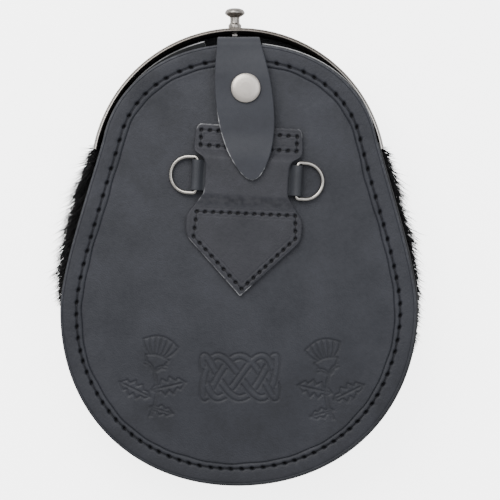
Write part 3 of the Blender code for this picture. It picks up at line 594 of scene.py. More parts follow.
def shaped_grid(bm, columns, rows, place, layer=None, mark=None):
    """Adds a grid and moves each point to place(u, v), with u and v from 0 to 1. It may mark it too."""
    made = bmesh.ops.create_grid(bm, x_segments=columns, y_segments=rows, size=0.5)
    for vertex in made["verts"]:
        u = min(max(vertex.co.x + 0.5, 0.0), 1.0)
        v = min(max(vertex.co.y + 0.5, 0.0), 1.0)
        vertex.co = place(u, v)
        if mark:
            vertex[layer] = mark(u, v)


def close_up(bm, fill=False):
    """Merges doubled points, fills open ends if asked, and turns the faces outwards."""
    bmesh.ops.remove_doubles(bm, verts=bm.verts, dist=1e-6)
    if fill:
        open_edges = [edge for edge in bm.edges if edge.is_boundary]
        bmesh.ops.holes_fill(bm, edges=open_edges, sides=0)
    bmesh.ops.recalc_face_normals(bm, faces=bm.faces)


thread_round, thread_along = 6, 8


def sew(name, holes, radius, sink, pairs):
    """Joined stitches, each a thread between two holes with its ends sunk into them."""
    bm = bmesh.new()
    for first, second in pairs:
        start, end = Vector(holes[first]), Vector(holes[second])
        along = (end - start).normalized()
        side = along.cross(Vector((0, 0, 1))).normalized()
        up = side.cross(along)

        def on_thread(u, v):
            """Point on this stitch."""
            middle = start.lerp(end, v)
            arch = math.sin(math.pi * v) ** 0.5 if 0 < v < 1 else 0.0
            thick = radius * math.sin(math.pi * v) ** 0.3 if 0 < v < 1 else 0.0
            turn = 2 * math.pi * u
            lift = sink * (arch - 1)
            return middle + up * (lift + thick * math.sin(turn)) + side * thick * math.cos(turn)

        shaped_grid(bm, thread_round, thread_along, on_thread)
    close_up(bm)
    finish_piece(name, bm, waxed_thread, "black_leather")


groove_floor = panel_face - 0.00058
seam_points = [(*hole, groove_floor + crown(*hole)) for hole in seam_holes]
seam_pairs = [(stitch, (stitch + 1) % stitch_count) for stitch in range(stitch_count)]
sew("back_panel_seam", seam_points, radius=0.00022, sink=0.0013, pairs=seam_pairs)


# Gusset
# A strip of softer black leather folded into a channel round the sides and bottom. Its two flanges
# are sewn under the panels' edges and its wall folds inwards.

gusset_leather = leather("gusset_leather", deep=(0.009, 0.009, 0.011), pale=(0.018, 0.019, 0.022),
                         painted_highlight=(0.03, 0.03, 0.033), grain_scale=900.0, grain_depth=0.00022)
wall_low = 0.0083
wall_high = 0.0337
gusset_wall = 0.0018
flange_proud = 0.0005
flange_shift = 0.0004
wall_inset = 0.0095
wall_fold = 0.0040
flange_bend = 0.0016
cantle_end_y = widest_to_top + 0.0074 - 0.0596
right_half = slice(0, len(edge_line) // 2 + 1)


def share_at_height(y):
    """Share of the way round at which the right side of the edge is at a height."""
    return np.interp(y, edge_line[right_half, 1], edge_share[right_half])


gusset_end = share_at_height(panel_y + cantle_end_y + 0.0030)


def smooth_line(points, count):
    """Rounded line of evenly spaced points through the middle of a few straight pieces."""
    points = np.array(points, float)
    for _ in range(3):
        near = 0.75 * points[:-1] + 0.25 * points[1:]
        far = 0.25 * points[:-1] + 0.75 * points[1:]
        between = np.stack([near, far], axis=1).reshape(-1, points.shape[1])
        points = np.vstack([points[:1], between, points[-1:]])
    run = np.concatenate([[0], np.cumsum(np.linalg.norm(np.diff(points, axis=0), axis=1))])
    stops = np.linspace(0, run[-1], count)
    return np.stack([np.interp(stops, run, points[:, axis]) for axis in range(points.shape[1])], axis=1)


def directions(line, ends=None):
    """Unit direction of a line at each of its points. The direction of both ends may be given."""
    along = np.gradient(line, axis=0)
    if ends:
        along[[0, -1]] = ends
    return along / np.linalg.norm(along, axis=1)[:, None]


def strip_section(line, thickness, round_steps=3):
    """Closed section of a strip along a line, with rounded ends."""
    half = 0.5 * thickness
    bluntness = 0.8
    along = directions(line)
    out = np.stack([along[:, 1], -along[:, 0]], axis=1)
    turns = [math.pi * step / (round_steps + 1) for step in range(1, round_steps + 1)]
    section = list(line + half * out)
    section += [line[-1] + half * (math.cos(turn) * out[-1] + bluntness * math.sin(turn) * along[-1])
                for turn in turns]
    section += list(line[::-1] - half * out[::-1])
    section += [line[0] - half * (math.cos(turn) * out[0] + bluntness * math.sin(turn) * along[0])
                for turn in turns]
    return np.array(section + section[:1])


gusset_low = wall_low + 0.5 * gusset_wall
gusset_high = wall_high - 0.5 * gusset_wall
gusset_middle = 0.5 * (gusset_low + gusset_high)
gusset_line = smooth_line([
    (-flange_proud + 0.0006, gusset_high), (wall_inset - flange_bend, gusset_high),
    (wall_inset, gusset_high - flange_bend), (wall_inset + wall_fold, gusset_middle),
    (wall_inset, gusset_low + flange_bend), (wall_inset - flange_bend, gusset_low),
    (-flange_proud + 0.0006, gusset_low),
], 34)
gusset_section = strip_section(gusset_line, gusset_wall)


def on_gusset(u, v):
    """Point of the channel: u round its section and v from one horn of the cantle to the other."""
    share = gusset_end * (2 * v - 1)
    spot = u * (len(gusset_section) - 1)
    inset, height = (np.interp(spot, range(len(gusset_section)), column) for column in gusset_section.T)
    ripple_height = 0.0005
    slack = ease((inset - 0.003) / 0.008)
    ripple = math.sin(61 * share + 2.0 * math.sin(23 * share)) + 0.5 * math.sin(131 * share + height * 300)
    inset += slack * ripple_height * ripple
    x, y = inside_edge(share, inset)
    return x + flange_shift, y, height


def grid_piece(name, columns, rows, place, material, finish, nodes, fill=True, **options):
    """Finishes a piece that is one shaped grid, its open ends filled if asked."""
    bm = bmesh.new()
    shaped_grid(bm, columns, rows, place)
    close_up(bm, fill)
    finish_piece(name, bm, material, finish, nodes, **options)


gusset_round, gusset_along = 78, 300
grid_piece("gusset_leather", gusset_round, gusset_along, on_gusset, gusset_leather, "black_leather",
           ["gusset"])


# Mouth facing
# A second leather under the back panel's top edge, darker than the back as painted shade, with a
# painted highlight along its rounded edge. It is notched where the closing tongue comes out.

facing_top = 0.0337
proud_left = 0.0031
left_taper = 0.072
proud_right = 0.0009
notch_left = -0.0163
notch_right = 0.0118
facing_margin = 0.006
# Darker than the back's leather as painted shade under the cantle's rim; its pale edge colour is a painted
# highlight.
facing_shaded_leather = leather("facing_shaded_leather", deep=(0.004, 0.0045, 0.005), pale=(0.009, 0.010, 0.011),
                         painted_highlight=(0.42, 0.42, 0.43), grain_scale=1300.0, grain_depth=0.00012,
                         rough=0.6, shine=0.12, highlight_least=0.75)


def top_share(x):
    """Share of the way round at which the top edge crosses an x."""
    top = edge_line[:, 1] > panel_y + 0.6 * widest_to_top
    return float(np.interp(-(x + panel_x), -edge_line[top, 0], edge_share[top]))


notch_shares = (top_share(notch_right), top_share(notch_left))


def facing_reach(share):
    """How far the facing shows past the panel's edge, tapering off towards each horn."""
    if notch_shares[0] < share < notch_shares[1]:
        return -0.0003
    if share <= notch_shares[0]:
        return proud_right * ease(3 * (share - gusset_end) / (notch_shares[0] - gusset_end))
    return proud_left * max(0.08, 1 - (share - notch_shares[1]) / left_taper)


facing_shares = np.concatenate([
    np.linspace(gusset_end + facing_margin, notch_shares[0] - 0.0003, 90),
    np.linspace(notch_shares[0] + 0.0001, notch_shares[1] - 0.0001, 30),
    np.linspace(notch_shares[1] + 0.0003, 1 - gusset_end - facing_margin, 100)])
facing_section = [
    # millimetres inside the edge, height above the face, and how strong the painted edge highlight is
    (0.0, -0.75, 0.0), (0.0, -0.25, 0.8), (0.16, -0.08, 1.0), (0.36, 0.0, 0.9), (0.55, 0.0, 0.0),
    (1.0, 0.0, 0.0), (11.9, 0.0, 0.0), (12.0, -0.5, 0.0), (12.0, -1.9, 0.0), (11.9, -2.0, 0.0),
    (0.5, -2.0, 0.0), (0.2, -1.9, 0.0), (0.04, -1.6, 0.0), (0.0, -1.2, 0.0), (0.0, -0.75, 0.0),
]


def item_at(items, share):
    """Item at a share of the way through a list."""
    return items[round(share * (len(items) - 1))]


def mouth_share(v):
    """Share of the way round the panel at a share of the way along the mouth."""
    return np.interp(v * (len(facing_shares) - 1), range(len(facing_shares)), facing_shares)


def on_facing(u, v):
    """Point of the facing: u round its section and v along the mouth."""
    share = mouth_share(v)
    inset, height, _ = item_at(facing_section, u)
    x, y = inside_edge(share, inset * millimetre - facing_reach(share))
    return x, y, facing_top + height * millimetre


def facing_highlight_strength(u, v):
    """Strength of the painted edge highlight here: brighter in some stretches, fading towards the left horn.
    """
    stretch = 0.62 + 0.38 * math.sin(17 * v + 2.0 * math.sin(9 * v) + 1.0)
    fade = 1 - 0.72 * ease((mouth_share(v) - notch_shares[1] - 0.022) / 0.025)
    return item_at(facing_section, u)[2] * stretch * fade


facing_bm = bmesh.new()
facing_highlight_layer = facing_bm.verts.layers.float.new("painted_highlight")
shaped_grid(facing_bm, len(facing_section) - 1, len(facing_shares) - 1, on_facing, facing_highlight_layer, facing_highlight_strength)
close_up(facing_bm, fill=True)
finish_piece("mouth_facing_leather", facing_bm, facing_shaded_leather, "black_leather", ["mouth_facing"], sharp=35)


# Front panel
# The stiff leather that carries the fur, seen only as an edge between the fur and the gusset and
# down the open mouth.

cantle_inner = 0.07311
cantle_wall = 0.0018
cantle_outer = cantle_inner + cantle_wall
cantle_centre = Vector((0.00007, 0.03560))
cantle_end_angle = math.radians(10.65)
front_low = 0.0060
front_high = 0.0080
front_section = [
    # millimetres inside the edge, and height as a share of the wall
    (31.0, 0.0), (8.0, 0.0), (0.5, 0.0), (0.15, 0.07), (0.0, 0.25), (0.0, 0.75), (0.15, 0.93), (0.5, 1.0),
    (8.0, 1.0), (31.0, 1.0),
]


def front_edge(share, inset):
    """Point inside the front panel's edge: the back's outline, filled out to the cantle's wall."""
    x, y = inside_edge(share, inset)
    away = Vector((x, y)) - cantle_centre
    reach = away.length
    seat = cantle_inner - 0.0003 - inset
    end = cantle_centre.y + reach * math.sin(cantle_end_angle)
    filled = reach + (seat - reach) * float(ease((y - end) / 0.020 + 0.5))
    return cantle_centre + away * (filled / reach)


def on_front(u, v):
    """Point of the front panel: u round its edge and v through its section."""
    inset, share_up = item_at(front_section, v)
    place = front_edge(u % 1.0, inset * millimetre)
    return place.x, place.y, front_low + share_up * (front_high - front_low)


front_stations = 180
grid_piece("front_panel_leather", front_stations, len(front_section) - 1, on_front, gusset_leather,
           "black_leather", ["front_panel"])


# Cantle
# A pressed steel crescent at the top of the unseen front, darkened and rubbed back. Its deep wall
# runs round the top of the pouch and ends in a rounded rim.

cantle_depth = 0.0240
cantle_plate = 0.0015
cantle_lip = 0.0057
lower_arc_top = widest_to_top + panel_y + 0.0074 + cantle_wall - 0.0460
horn_reach = cantle_inner - 0.0130
horn_x = horn_reach * math.cos(cantle_end_angle)
horn_y = cantle_centre.y + horn_reach * math.sin(cantle_end_angle)
lower_radius = (horn_x ** 2 + (lower_arc_top - horn_y) ** 2) / (2 * (lower_arc_top - horn_y))
lower_centre = lower_arc_top - lower_radius

antique_steel, steel_tree, steel_shader = new_material("antique_steel", Metallic=1.0)
patina = noise(steel_tree, 90.0, 6.0, 0.65)
steel_colour = mix_colours(steel_tree, patina, (0.10, 0.088, 0.078), (0.19, 0.172, 0.155))
steel_colour = mix_colours(steel_tree, painted(steel_tree, "rubbed"), steel_colour, (0.64, 0.61, 0.575))
feed(steel_tree, steel_shader.inputs["Roughness"], remap(steel_tree, patina, to_low=0.26, to_high=0.42))
scratches = noise(steel_tree, 900.0, 3.0)
dress_shader(steel_tree, steel_shader, steel_colour, scratches, strength=0.25, depth=0.00008)


def soft_corners(points, radius, steps=3):
    """The same line with each inner corner rounded off."""
    points = [Vector(point) for point in points]
    rounded = [points[0]]
    for before, corner, after in zip(points[:-2], points[1:-1], points[2:]):
        start = corner + (before - corner).normalized() * min(radius, 0.45 * (before - corner).length)
        end = corner + (after - corner).normalized() * min(radius, 0.45 * (after - corner).length)
        for step in range(steps + 1):
            share = step / steps
            rounded.append(start.lerp(corner, share).lerp(corner.lerp(end, share), share))
    return rounded + [points[-1]]


def cantle_section(angle):
    """Section of the crescent in one direction, as reach and height."""
    up = cantle_centre.y - lower_centre
    along = up * math.sin(angle)
    low = -along + math.sqrt(along ** 2 - up ** 2 + lower_radius ** 2)
    back = cantle_outer - cantle_wall
    border = 0.0022
    groove = 0.0006
    rim_line = 0.0008
    middle = 0.5 * (low + cantle_outer)
    points = [(middle, 0.0003), (low + border + 2 * groove, 0.0003), (low + border, 0.0), (low, 0.0),
              (low, cantle_lip), (low + cantle_plate, cantle_lip), (low + cantle_plate, cantle_plate),
              (back, cantle_plate), (back, cantle_depth), (back + rim_line, cantle_depth),
              (back + 1.2 * rim_line, cantle_depth - 0.2 * rim_line), (back + 1.4 * rim_line, cantle_depth),
              (cantle_outer, cantle_depth), (cantle_outer, 0.0),
              (cantle_outer - border, 0.0), (cantle_outer - border - 2 * groove, 0.0003), (middle, 0.0003)]
    return soft_corners(points, 0.00045)


def on_cantle(u, v):
    """Point of the crescent: u round its section and v from horn to horn."""
    angle = cantle_end_angle + (math.pi - 2 * cantle_end_angle) * v
    place = item_at(cantle_section(angle), u)
    return cantle_centre.x + place.x * math.cos(angle), cantle_centre.y + place.x * math.sin(angle), place.y


def cantle_wear(place):
    """How bright the steel is rubbed: on its rim, and more towards the horns."""
    if place.z <= cantle_depth - 0.0005:
        return 0.0
    to_horn = abs(place.x - cantle_centre.x) / cantle_outer
    outside = (place.xy - cantle_centre).length > cantle_outer - 0.0007
    return (0.03 + 0.97 * to_horn ** 5) * (0.6 if outside else 1.0)


cantle_round = len(cantle_section(0.5 * math.pi)) - 1
cantle_along = 180
grid_piece("cantle_steel", cantle_round, cantle_along, on_cantle, antique_steel, "antique_steel", ["cantle"],
           sharp=40, marks={"rubbed": cantle_wear})


# Knob and nut
# A turned steel mushroom knob with a collar stands on the crescent's wall, screwed through it into
# a bright six-sided nut inside.

knob_x = -0.00183
knob_z = 0.0130
knob_seat = cantle_centre.y + cantle_outer + 0.0003
knob_profile = [
    # millimetres from the axis, and above the seat
    (0.0, 10.7), (2.6, 10.55), (4.3, 9.9), (5.1, 8.6), (5.05, 7.9), (4.4, 7.2), (3.3, 6.55), (2.5, 6.1),
    (2.4, 5.6), (2.4, 3.4), (2.55, 2.9), (2.9, 2.5), (3.3, 2.1), (3.3, 0.5), (3.0, 0.0), (1.2, 0.0),
    (1.2, -4.1), (0.0, -4.1),
]


def turn_on_lathe(bm, profile, place, axis, steps=48):
    """Spins a profile of radius and height about an axis through a place."""
    side = Vector(axis).orthogonal().normalized()
    verts = [bm.verts.new(Vector(place) + side * radius + Vector(axis) * height)
             for radius, height in profile]
    edges = [bm.edges.new(pair) for pair in zip(verts[:-1], verts[1:])]
    bmesh.ops.spin(bm, geom=verts + edges, cent=place, axis=axis, dvec=(0, 0, 0), angle=2 * math.pi,
                   steps=steps, use_merge=True, use_duplicate=False)
    close_up(bm)


knob_wear = 0.26
knob_bm = bmesh.new()
knob_line = [(radius * millimetre, height * millimetre) for radius, height in knob_profile]
turn_on_lathe(knob_bm, soft_corners(knob_line, 0.0004), (knob_x, knob_seat, knob_z), (0, 1, 0))
finish_piece("knob_steel", knob_bm, antique_steel, "antique_steel", ["knob"], sharp=60,
             marks={"rubbed": lambda place: knob_wear})


def nickel(name, deep, pale, smooth, dull):
    """Nickel plate, a little tarnished, between two colours and two roughnesses."""
    material, tree, shader = new_material(name, Metallic=1.0)
    tarnish = noise(tree, 160.0, 5.0, 0.6)
    feed(tree, shader.inputs["Roughness"], remap(tree, tarnish, to_low=smooth, to_high=dull))
    dress_shader(tree, shader, mix_colours(tree, tarnish, deep, pale), noise(tree, 2400.0, 2.0),
                 strength=0.12, depth=0.00005)
    return material


bright_nickel = nickel("bright_nickel", deep=(0.46, 0.435, 0.41), pale=(0.64, 0.61, 0.585),
                       smooth=0.2, dull=0.34)
for node_name in ("knob_nut", "snap_stud"):
    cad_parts[node_name].data.materials.clear()
    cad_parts[node_name].data.materials.append(bright_nickel)


# Closing tongue
# A smooth leather strip sewn inside the front. It comes out of the mouth, folds over the top edge
# and lies down the back to its snap, over the head of the belt patch, with a painted highlight on its cut
# edge.

tongue_wall = 0.0020
tongue_half_width = 0.0143
tongue_length = 0.0721
tongue_lean = 0.096
tongue_gap = 0.0015
tongue_foot = 0.0300
tongue_lift_at_edge = 0.0010
snap_x = panel_x + 0.0037
snap_y = panel_y + widest_to_top - 0.0227
snap_lift = 0.0038
waist_lift = 0.0056
patch_y = panel_y + widest_to_top - 0.0673
strap_width = 0.0153
tongue_outline = [
    # share of the length from the bend, share of the half width
    (0.00, 0.72), (0.10, 0.81), (0.19, 0.89), (0.28, 0.955), (0.36, 0.99), (0.45, 1.005), (0.54, 0.995),
    (0.60, 0.97), (0.65, 0.94), (0.71, 0.88), (0.76, 0.82), (0.80, 0.76), (0.85, 0.66), (0.90, 0.535),
    (0.94, 0.41), (0.965, 0.31), (0.983, 0.215), (0.993, 0.13), (1.00, 0.02),
]
# Its pale edge colour is a painted highlight.
tongue_leather = leather("tongue_leather", deep=(0.0188, 0.0203, 0.0262), pale=(0.0248, 0.0266, 0.0342),
                         painted_highlight=(0.38, 0.38, 0.39), grain_scale=1500.0, grain_depth=0.00005)
tongue_top = panel_y + widest_to_top + tongue_gap + tongue_wall
tongue_tip = tongue_top - tongue_length
bend_out = panel_y + widest_to_top + tongue_gap + 0.5 * tongue_wall
foot_low = front_high + 0.0003 + 0.5 * tongue_wall
bend_high = panel_face + tongue_lift_at_edge + 0.5 * tongue_wall
foot_bend = 0.0050
edge_bend = 0.0040


def tongue_rise(y):
    """Height of the tongue's underside above the panel's face where it lies over it."""
    to_snap = ease((bend_out - edge_bend - y) / (bend_out - edge_bend - snap_y - 0.0052))
    to_waist = ease((patch_y + 0.5 * strap_width + 0.0155 - y) / 0.0155)
    return (tongue_lift_at_edge + (snap_lift - tongue_lift_at_edge) * to_snap
            + (waist_lift - snap_lift) * to_waist)


def face_height(x, y):
    """Height of the crowned back's face at a place."""
    return panel_face + crown(x, y)


def arc(centre, radius, start, end, count):
    """Points on an arc between two angles, which are in degrees."""
    return [(centre[0] + radius * math.cos(turn), centre[1] + radius * math.sin(turn))
            for turn in np.radians(np.linspace(start, end, count))]


def tongue_middle_line():
    """Middle of the strip as y and z: foot, two bends and the stretch over the back."""
    line = [(bend_out - tongue_foot + step * 0.2 * (tongue_foot - foot_bend), foot_low) for step in range(5)]
    line += arc((bend_out - foot_bend, foot_low + foot_bend), foot_bend, -90, 0, 9)
    line += arc((bend_out - edge_bend, bend_high - edge_bend), edge_bend, 0, 90, 11)
    start = bend_out - edge_bend
    for along in 1 - (1 - np.linspace(0, 1, 71)[1:]) ** 1.5:
        y = start + (tongue_tip - start) * along
        x = panel_x + (snap_x - panel_x) * (start - y) / (start - snap_y)
        line.append((y, face_height(x, y) + tongue_rise(y) + 0.5 * tongue_wall))
    return np.array(line)


tongue_line = tongue_middle_line()
tongue_along = directions(tongue_line)
tongue_bend_row = 14
outline_shares, outline_widths = zip(*tongue_outline)
strip_across = [-1 + 0.012 * step ** 2 for step in range(4)] + list(np.linspace(-0.86, 0.86, 19))
strip_across += [-across for across in strip_across[3::-1]]


def strip_ring(half_width, wall, soft=0.0005):
    """Closed section of a cut strip, as across and height, with its two upper corners rounded."""
    soft = min(soft, 0.8 * half_width)
    high, low = 0.5 * wall, -0.5 * wall
    ring = [(across * (half_width - soft), high) for across in strip_across]
    ring += arc((half_width - soft, high - soft), soft, 60, 0, 3)
    ring += [(half_width, low + soft)]
    ring += [(across * (half_width - 0.3 * soft), low) for across in strip_across[::-1]]
    ring += [(-half_width, low + soft)]
    ring += arc((soft - half_width, high - soft), soft, 180, 120, 3)
    return ring + ring[:1]


def tongue_reach(share):
    """Half width of the tongue at a share of its length."""
    return tongue_half_width * np.interp(share, outline_shares, outline_widths)


def tongue_centre(y):
    """x of the leaning tongue's middle line."""
    return panel_x + tongue_lean * (tongue_top - y)


def on_tongue(u, v):
    """Point of the tongue: u round its section and v from its sewn foot to its tip."""
    row = round(v * (len(tongue_line) - 1))
    y, z = tongue_line[row]
    share = 0.0 if row < tongue_bend_row else (tongue_top - y) / tongue_length
    across, height = item_at(strip_ring(tongue_reach(share), tongue_wall), u)
    along = tongue_along[row]
    return tongue_centre(y) - across, y + height * along[1], z - height * along[0]


def tongue_edge_highlight(place):
    """Strength of the painted highlight on the cut edge at a place: down the left side and round the tip."""
    share = (tongue_top - place.y) / tongue_length
    across = place.x - tongue_centre(place.y)
    near_edge = ease((abs(across) - tongue_reach(share) + 0.00045) / 0.0003)
    lower_left = ease((0.001 - across) / 0.006 + 0.35) * ease((share - 0.48) / 0.10)
    lower_right = ease((share - 0.90) / 0.04)
    return near_edge * max(lower_left, lower_right)


ring_size = len(strip_ring(tongue_half_width, tongue_wall)) - 1
grid_piece("closing_tongue_leather", ring_size, len(tongue_line) - 1, on_tongue, tongue_leather,
           "tongue_leather", ["closure_tongue"], sharp=55, marks={"painted_highlight": tongue_edge_highlight})


# Snap
# A pressed nickel cap with a rolled edge, its post and socket under the tongue. The stud under it
# is riveted through the back panel.

snap_base = panel_face + float(crown(snap_x, snap_y))
cap_seat = snap_lift + tongue_wall + 0.0006
cap_profile = [
    # millimetres from the axis, and above the cap's seat
    (0.0, 1.9), (2.9, 1.86), (5.2, 1.68), (6.5, 1.35), (7.2, 0.95), (7.4, 0.5), (7.15, 0.12), (6.5, 0.0),
    (1.7, 0.0), (1.7, -2.9), (5.0, -2.9), (5.2, -3.1), (5.2, -4.9), (3.1, -4.9), (3.1, -3.4), (0.0, -3.4),
]
cap_bm = bmesh.new()
cap_line = [(radius * millimetre, cap_seat + height * millimetre) for radius, height in cap_profile]
turn_on_lathe(cap_bm, soft_corners(cap_line, 0.0005), (snap_x, snap_y, snap_base), (0, 0, 1), steps=64)
cap_nickel = nickel("brushed_cap_nickel", deep=(0.43, 0.395, 0.36), pale=(0.54, 0.50, 0.46),
                    smooth=0.34, dull=0.48)
finish_piece("snap_cap_nickel", cap_bm, cap_nickel, "nickel", ["snap_cap"], sharp=60)


# Belt patch
# A shaped piece of the same cowhide, sewn down at its head and at its point. Its narrow waist is
# left open as a bridge over the ring strap, where the belt goes through.

patch_x = panel_x + 0.0042
patch_turn = math.radians(-3.3)
patch_wall = 0.0020
patch_head = 0.0259
patch_length = 0.0847
patch_half_width = 0.0290
patch_ramp = 0.0068
# Painted light on the ramp below the waist, lifting the shade where it faces away from the lights.
ramp_painted_light = 0.085
waist_under = 0.0033
strap_clearance = 0.0007
patch_outline = [
    # share of the length from the top edge, share of the half width
    (0.00, 0.845), (0.01, 0.885), (0.03, 0.912), (0.08, 0.93), (0.13, 0.94), (0.165, 0.915), (0.20, 0.76),
    (0.235, 0.722), (0.285, 0.715), (0.37, 0.715), (0.41, 0.728), (0.44, 0.785), (0.475, 0.86),
    (0.51, 0.935), (0.535, 0.98), (0.56, 1.00), (0.62, 1.00), (0.65, 0.985), (0.675, 0.95),
    (0.70, 0.885), (0.84, 0.475), (0.97, 0.095), (0.992, 0.035), (1.00, 0.01),
]
patch_seams = [
    # corners of the sewn outlines at the head and at the point, in metres
    [(-0.01835, 0.05812), (0.02945, 0.05462), (0.02915, 0.04727), (-0.01870, 0.05052)],
    [(-0.02060, 0.01732), (0.02850, 0.01507), (0.02850, 0.00362), (0.00170, -0.02128), (-0.02220, 0.00487)],
]
patch_pitch = 0.00426
patch_leather = leather("patch_leather", deep=(0.0157, 0.0162, 0.0206), pale=(0.0274, 0.0278, 0.0346),
                        # Its pale edge colour is a painted highlight.
                        painted_highlight=(0.25, 0.25, 0.26), grain_scale=1100.0, grain_depth=0.00016)
patch_cosine, patch_sine = math.cos(patch_turn), math.sin(patch_turn)


def on_pouch(across, along):
    """Pouch x and y of a place in the patch's own frame, centred on the ring strap."""
    return (patch_x + patch_cosine * across - patch_sine * along,
            patch_y + patch_sine * across + patch_cosine * along)


def in_patch(x, y):
    """Place in the patch's own frame of a pouch x and y."""
    away_x, away_y = x - patch_x, y - patch_y
    return patch_cosine * away_x + patch_sine * away_y, -patch_sine * away_x + patch_cosine * away_y


def patch_height(along):
    """Height of the patch's underside above the panel: flat, and up over the ring strap."""
    clear = 0.5 * strap_width + strap_clearance
    return 0.0003 + (waist_under - 0.0003) * ease((clear + patch_ramp - np.abs(along)) / patch_ramp)


patch_stops, patch_widths = (np.array(column) for column in zip(*patch_outline))


def patch_reach(share):
    """Half width of the patch at a share of its length."""
    spread = [float(np.interp(share + shift, patch_stops, patch_widths)) for shift in (-0.008, 0.0, 0.008)]
    inner = min(max((share - 0.02) / 0.02, 0.0), 1.0) * min(max((0.97 - share) / 0.02, 0.0), 1.0)
    return patch_half_width * (spread[1] + inner * (sum(spread) / 3 - spread[1]))


patch_rows = 200
patch_columns = 140
patch_soft = 0.0006


def on_patch(u, v):
    """Point of the patch's upper face: u across, closer set towards the edges, and v from head to point."""
    spot = 2 * u - 1
    closer = math.sin(0.5 * math.pi * spot * 0.985) / math.sin(0.5 * math.pi * 0.985)
    across = patch_reach(v) * (0.35 * closer + 0.65 * spot)
    along = patch_head - v * patch_length
    return (*on_pouch(across, along), panel_face + patch_height(along) + patch_wall)


def sewn_points(corners, pitch):
    """Stitch holes spaced evenly along a closed outline with a hole at each corner."""
    holes, alongs = [], []
    corners = [Vector(corner) for corner in corners]
    for start, end in zip(corners, corners[1:] + corners[:1]):
        count = max(1, round((end - start).length / pitch))
        for step in range(count):
            holes.append(start.lerp(end, step / count))
            alongs.append(end - start)
    pairs = [(place, (place + 1) % len(holes)) for place in range(len(holes))]
    return holes, pairs, alongs


def patch_painted_light(across, along, gap):
    """Painted light on the patch at a place: a painted highlight on its edge in stretches, and on the bend
    below the waist.
    """
    share = (patch_head - along) / patch_length
    top_left = ease((0.045 - share) / 0.03) * ease((0.004 - across) / 0.008)
    top_right = 0.35 * ease((0.06 - share) / 0.03) * ease((across - 0.012) / 0.008)
    waist_left = 0.49 * ease((0.06 - abs(share - 0.42)) / 0.04) * ease(-across / 0.01)
    point_left = 0.4 * ease((share - 0.66) / 0.03) * ease((0.006 - across) / 0.004)
    point_left *= 1 + ease((share - 0.84) / 0.10)
    at_point = ease((share - 0.925) / 0.03)
    at_edge = ease((0.00065 - gap) / 0.0004)
    down_ramp = (-along - 0.5 * strap_width - strap_clearance) / patch_ramp
    bent = math.sin(math.pi * min(max(down_ramp, 0.0), 1.0)) * ramp_painted_light
    return max(bent, at_edge * max(top_left, point_left, waist_left, top_right, at_point))


patch_shoulder = 0.75 * patch_soft
seam_dip, seam_dip_width = 0.00018, 0.0009
crease_inset, crease_depth, crease_width = 0.0019, 0.00012, 0.0006
patch_bm = bmesh.new()
# Marks for painted shade in the stitch holes, and for the painted highlight and painted light.
patch_bm.verts.layers.float.new("hole")
patch_highlight_layer = patch_bm.verts.layers.float.new("painted_highlight")
shaped_grid(patch_bm, patch_columns, patch_rows, on_patch)
patch_bm.normal_update()
if patch_bm.faces[:][0].normal.z < 0:
    bmesh.ops.reverse_faces(patch_bm, faces=patch_bm.faces)
patch_bm.normal_update()
border = [vertex for vertex in patch_bm.verts if vertex.is_boundary]
border_line = np.array([vertex.co[:2] for vertex in border])
for vertex in patch_bm.verts:
    gap = float(np.linalg.norm(border_line - vertex.co[:2], axis=1).min())
    fall = max(0.0, 1 - gap / (1.6 * patch_soft))
    vertex.co.z -= patch_shoulder * fall ** 2
    vertex[patch_highlight_layer] = patch_painted_light(*in_patch(vertex.co.x, vertex.co.y), gap)
for corners in patch_seams:
    line = np.array(corners + corners[:1])
    places = np.array([vertex.co[:2] for vertex in patch_bm.verts])
    gaps, _ = distance_to(places, line)
    for vertex, gap in zip(patch_bm.verts, gaps):
        vertex.co.z -= seam_dip * (1 - ease(gap / seam_dip_width))
        vertex.co.z -= crease_depth * (1 - ease(abs(gap - crease_inset) / crease_width))
seam_rows = [sewn_points(corners, patch_pitch) for corners in patch_seams]
for holes, _, alongs in seam_rows:
    dent_holes(patch_bm, [np.array(hole) for hole in holes], alongs, long_axis=0.00112, short_axis=0.00092,
               slant=math.radians(25), depth=0.0010)
border_edges = [edge for edge in patch_bm.edges if edge.is_boundary]
for drop in (0.25, 0.6, 0.95):
    grown = bmesh.ops.extrude_edge_only(patch_bm, edges=border_edges)["geom"]
    border_edges = [item for item in grown if isinstance(item, bmesh.types.BMEdge) and item.is_boundary]
    for vertex in (item for item in grown if isinstance(item, bmesh.types.BMVert)):
        _, along = in_patch(vertex.co.x, vertex.co.y)
        top = panel_face + patch_height(along) + patch_wall
        vertex.co.z = top - patch_shoulder - drop * (patch_wall - patch_shoulder)
for vertex in patch_bm.verts:
    vertex.co.z += crown(vertex.co.x, vertex.co.y)
under_bm = bmesh.new()
shaped_grid(under_bm, patch_columns, patch_rows, on_patch)
under_bm.normal_update()
if under_bm.faces[:][0].normal.z > 0:
    bmesh.ops.reverse_faces(under_bm, faces=under_bm.faces)
for vertex in under_bm.verts:
    vertex.co.z += crown(vertex.co.x, vertex.co.y) - patch_wall + 0.05 * (patch_wall - patch_shoulder)
under_mesh = bpy.data.meshes.new("patch_underside")
under_bm.to_mesh(under_mesh)
under_bm.free()
patch_bm.from_mesh(under_mesh)
bpy.data.meshes.remove(under_mesh)
bmesh.ops.remove_doubles(patch_bm, verts=patch_bm.verts, dist=2e-6)
finish_piece("belt_patch_leather", patch_bm, patch_leather, "black_leather", ["strap_patch"], sharp=55)

patch_threads, patch_pairs = [], []
for holes, pairs, _ in seam_rows:
    first = len(patch_threads)
    for hole in holes:
        _, along = in_patch(*hole)
        height = face_height(*hole) + patch_height(along) + patch_wall - 0.00016
        patch_threads.append((*hole, height))
    patch_pairs += [(first + start, first + end) for start, end in pairs]
sew("belt_patch_seam", patch_threads, radius=0.00018, sink=0.0011, pairs=patch_pairs)


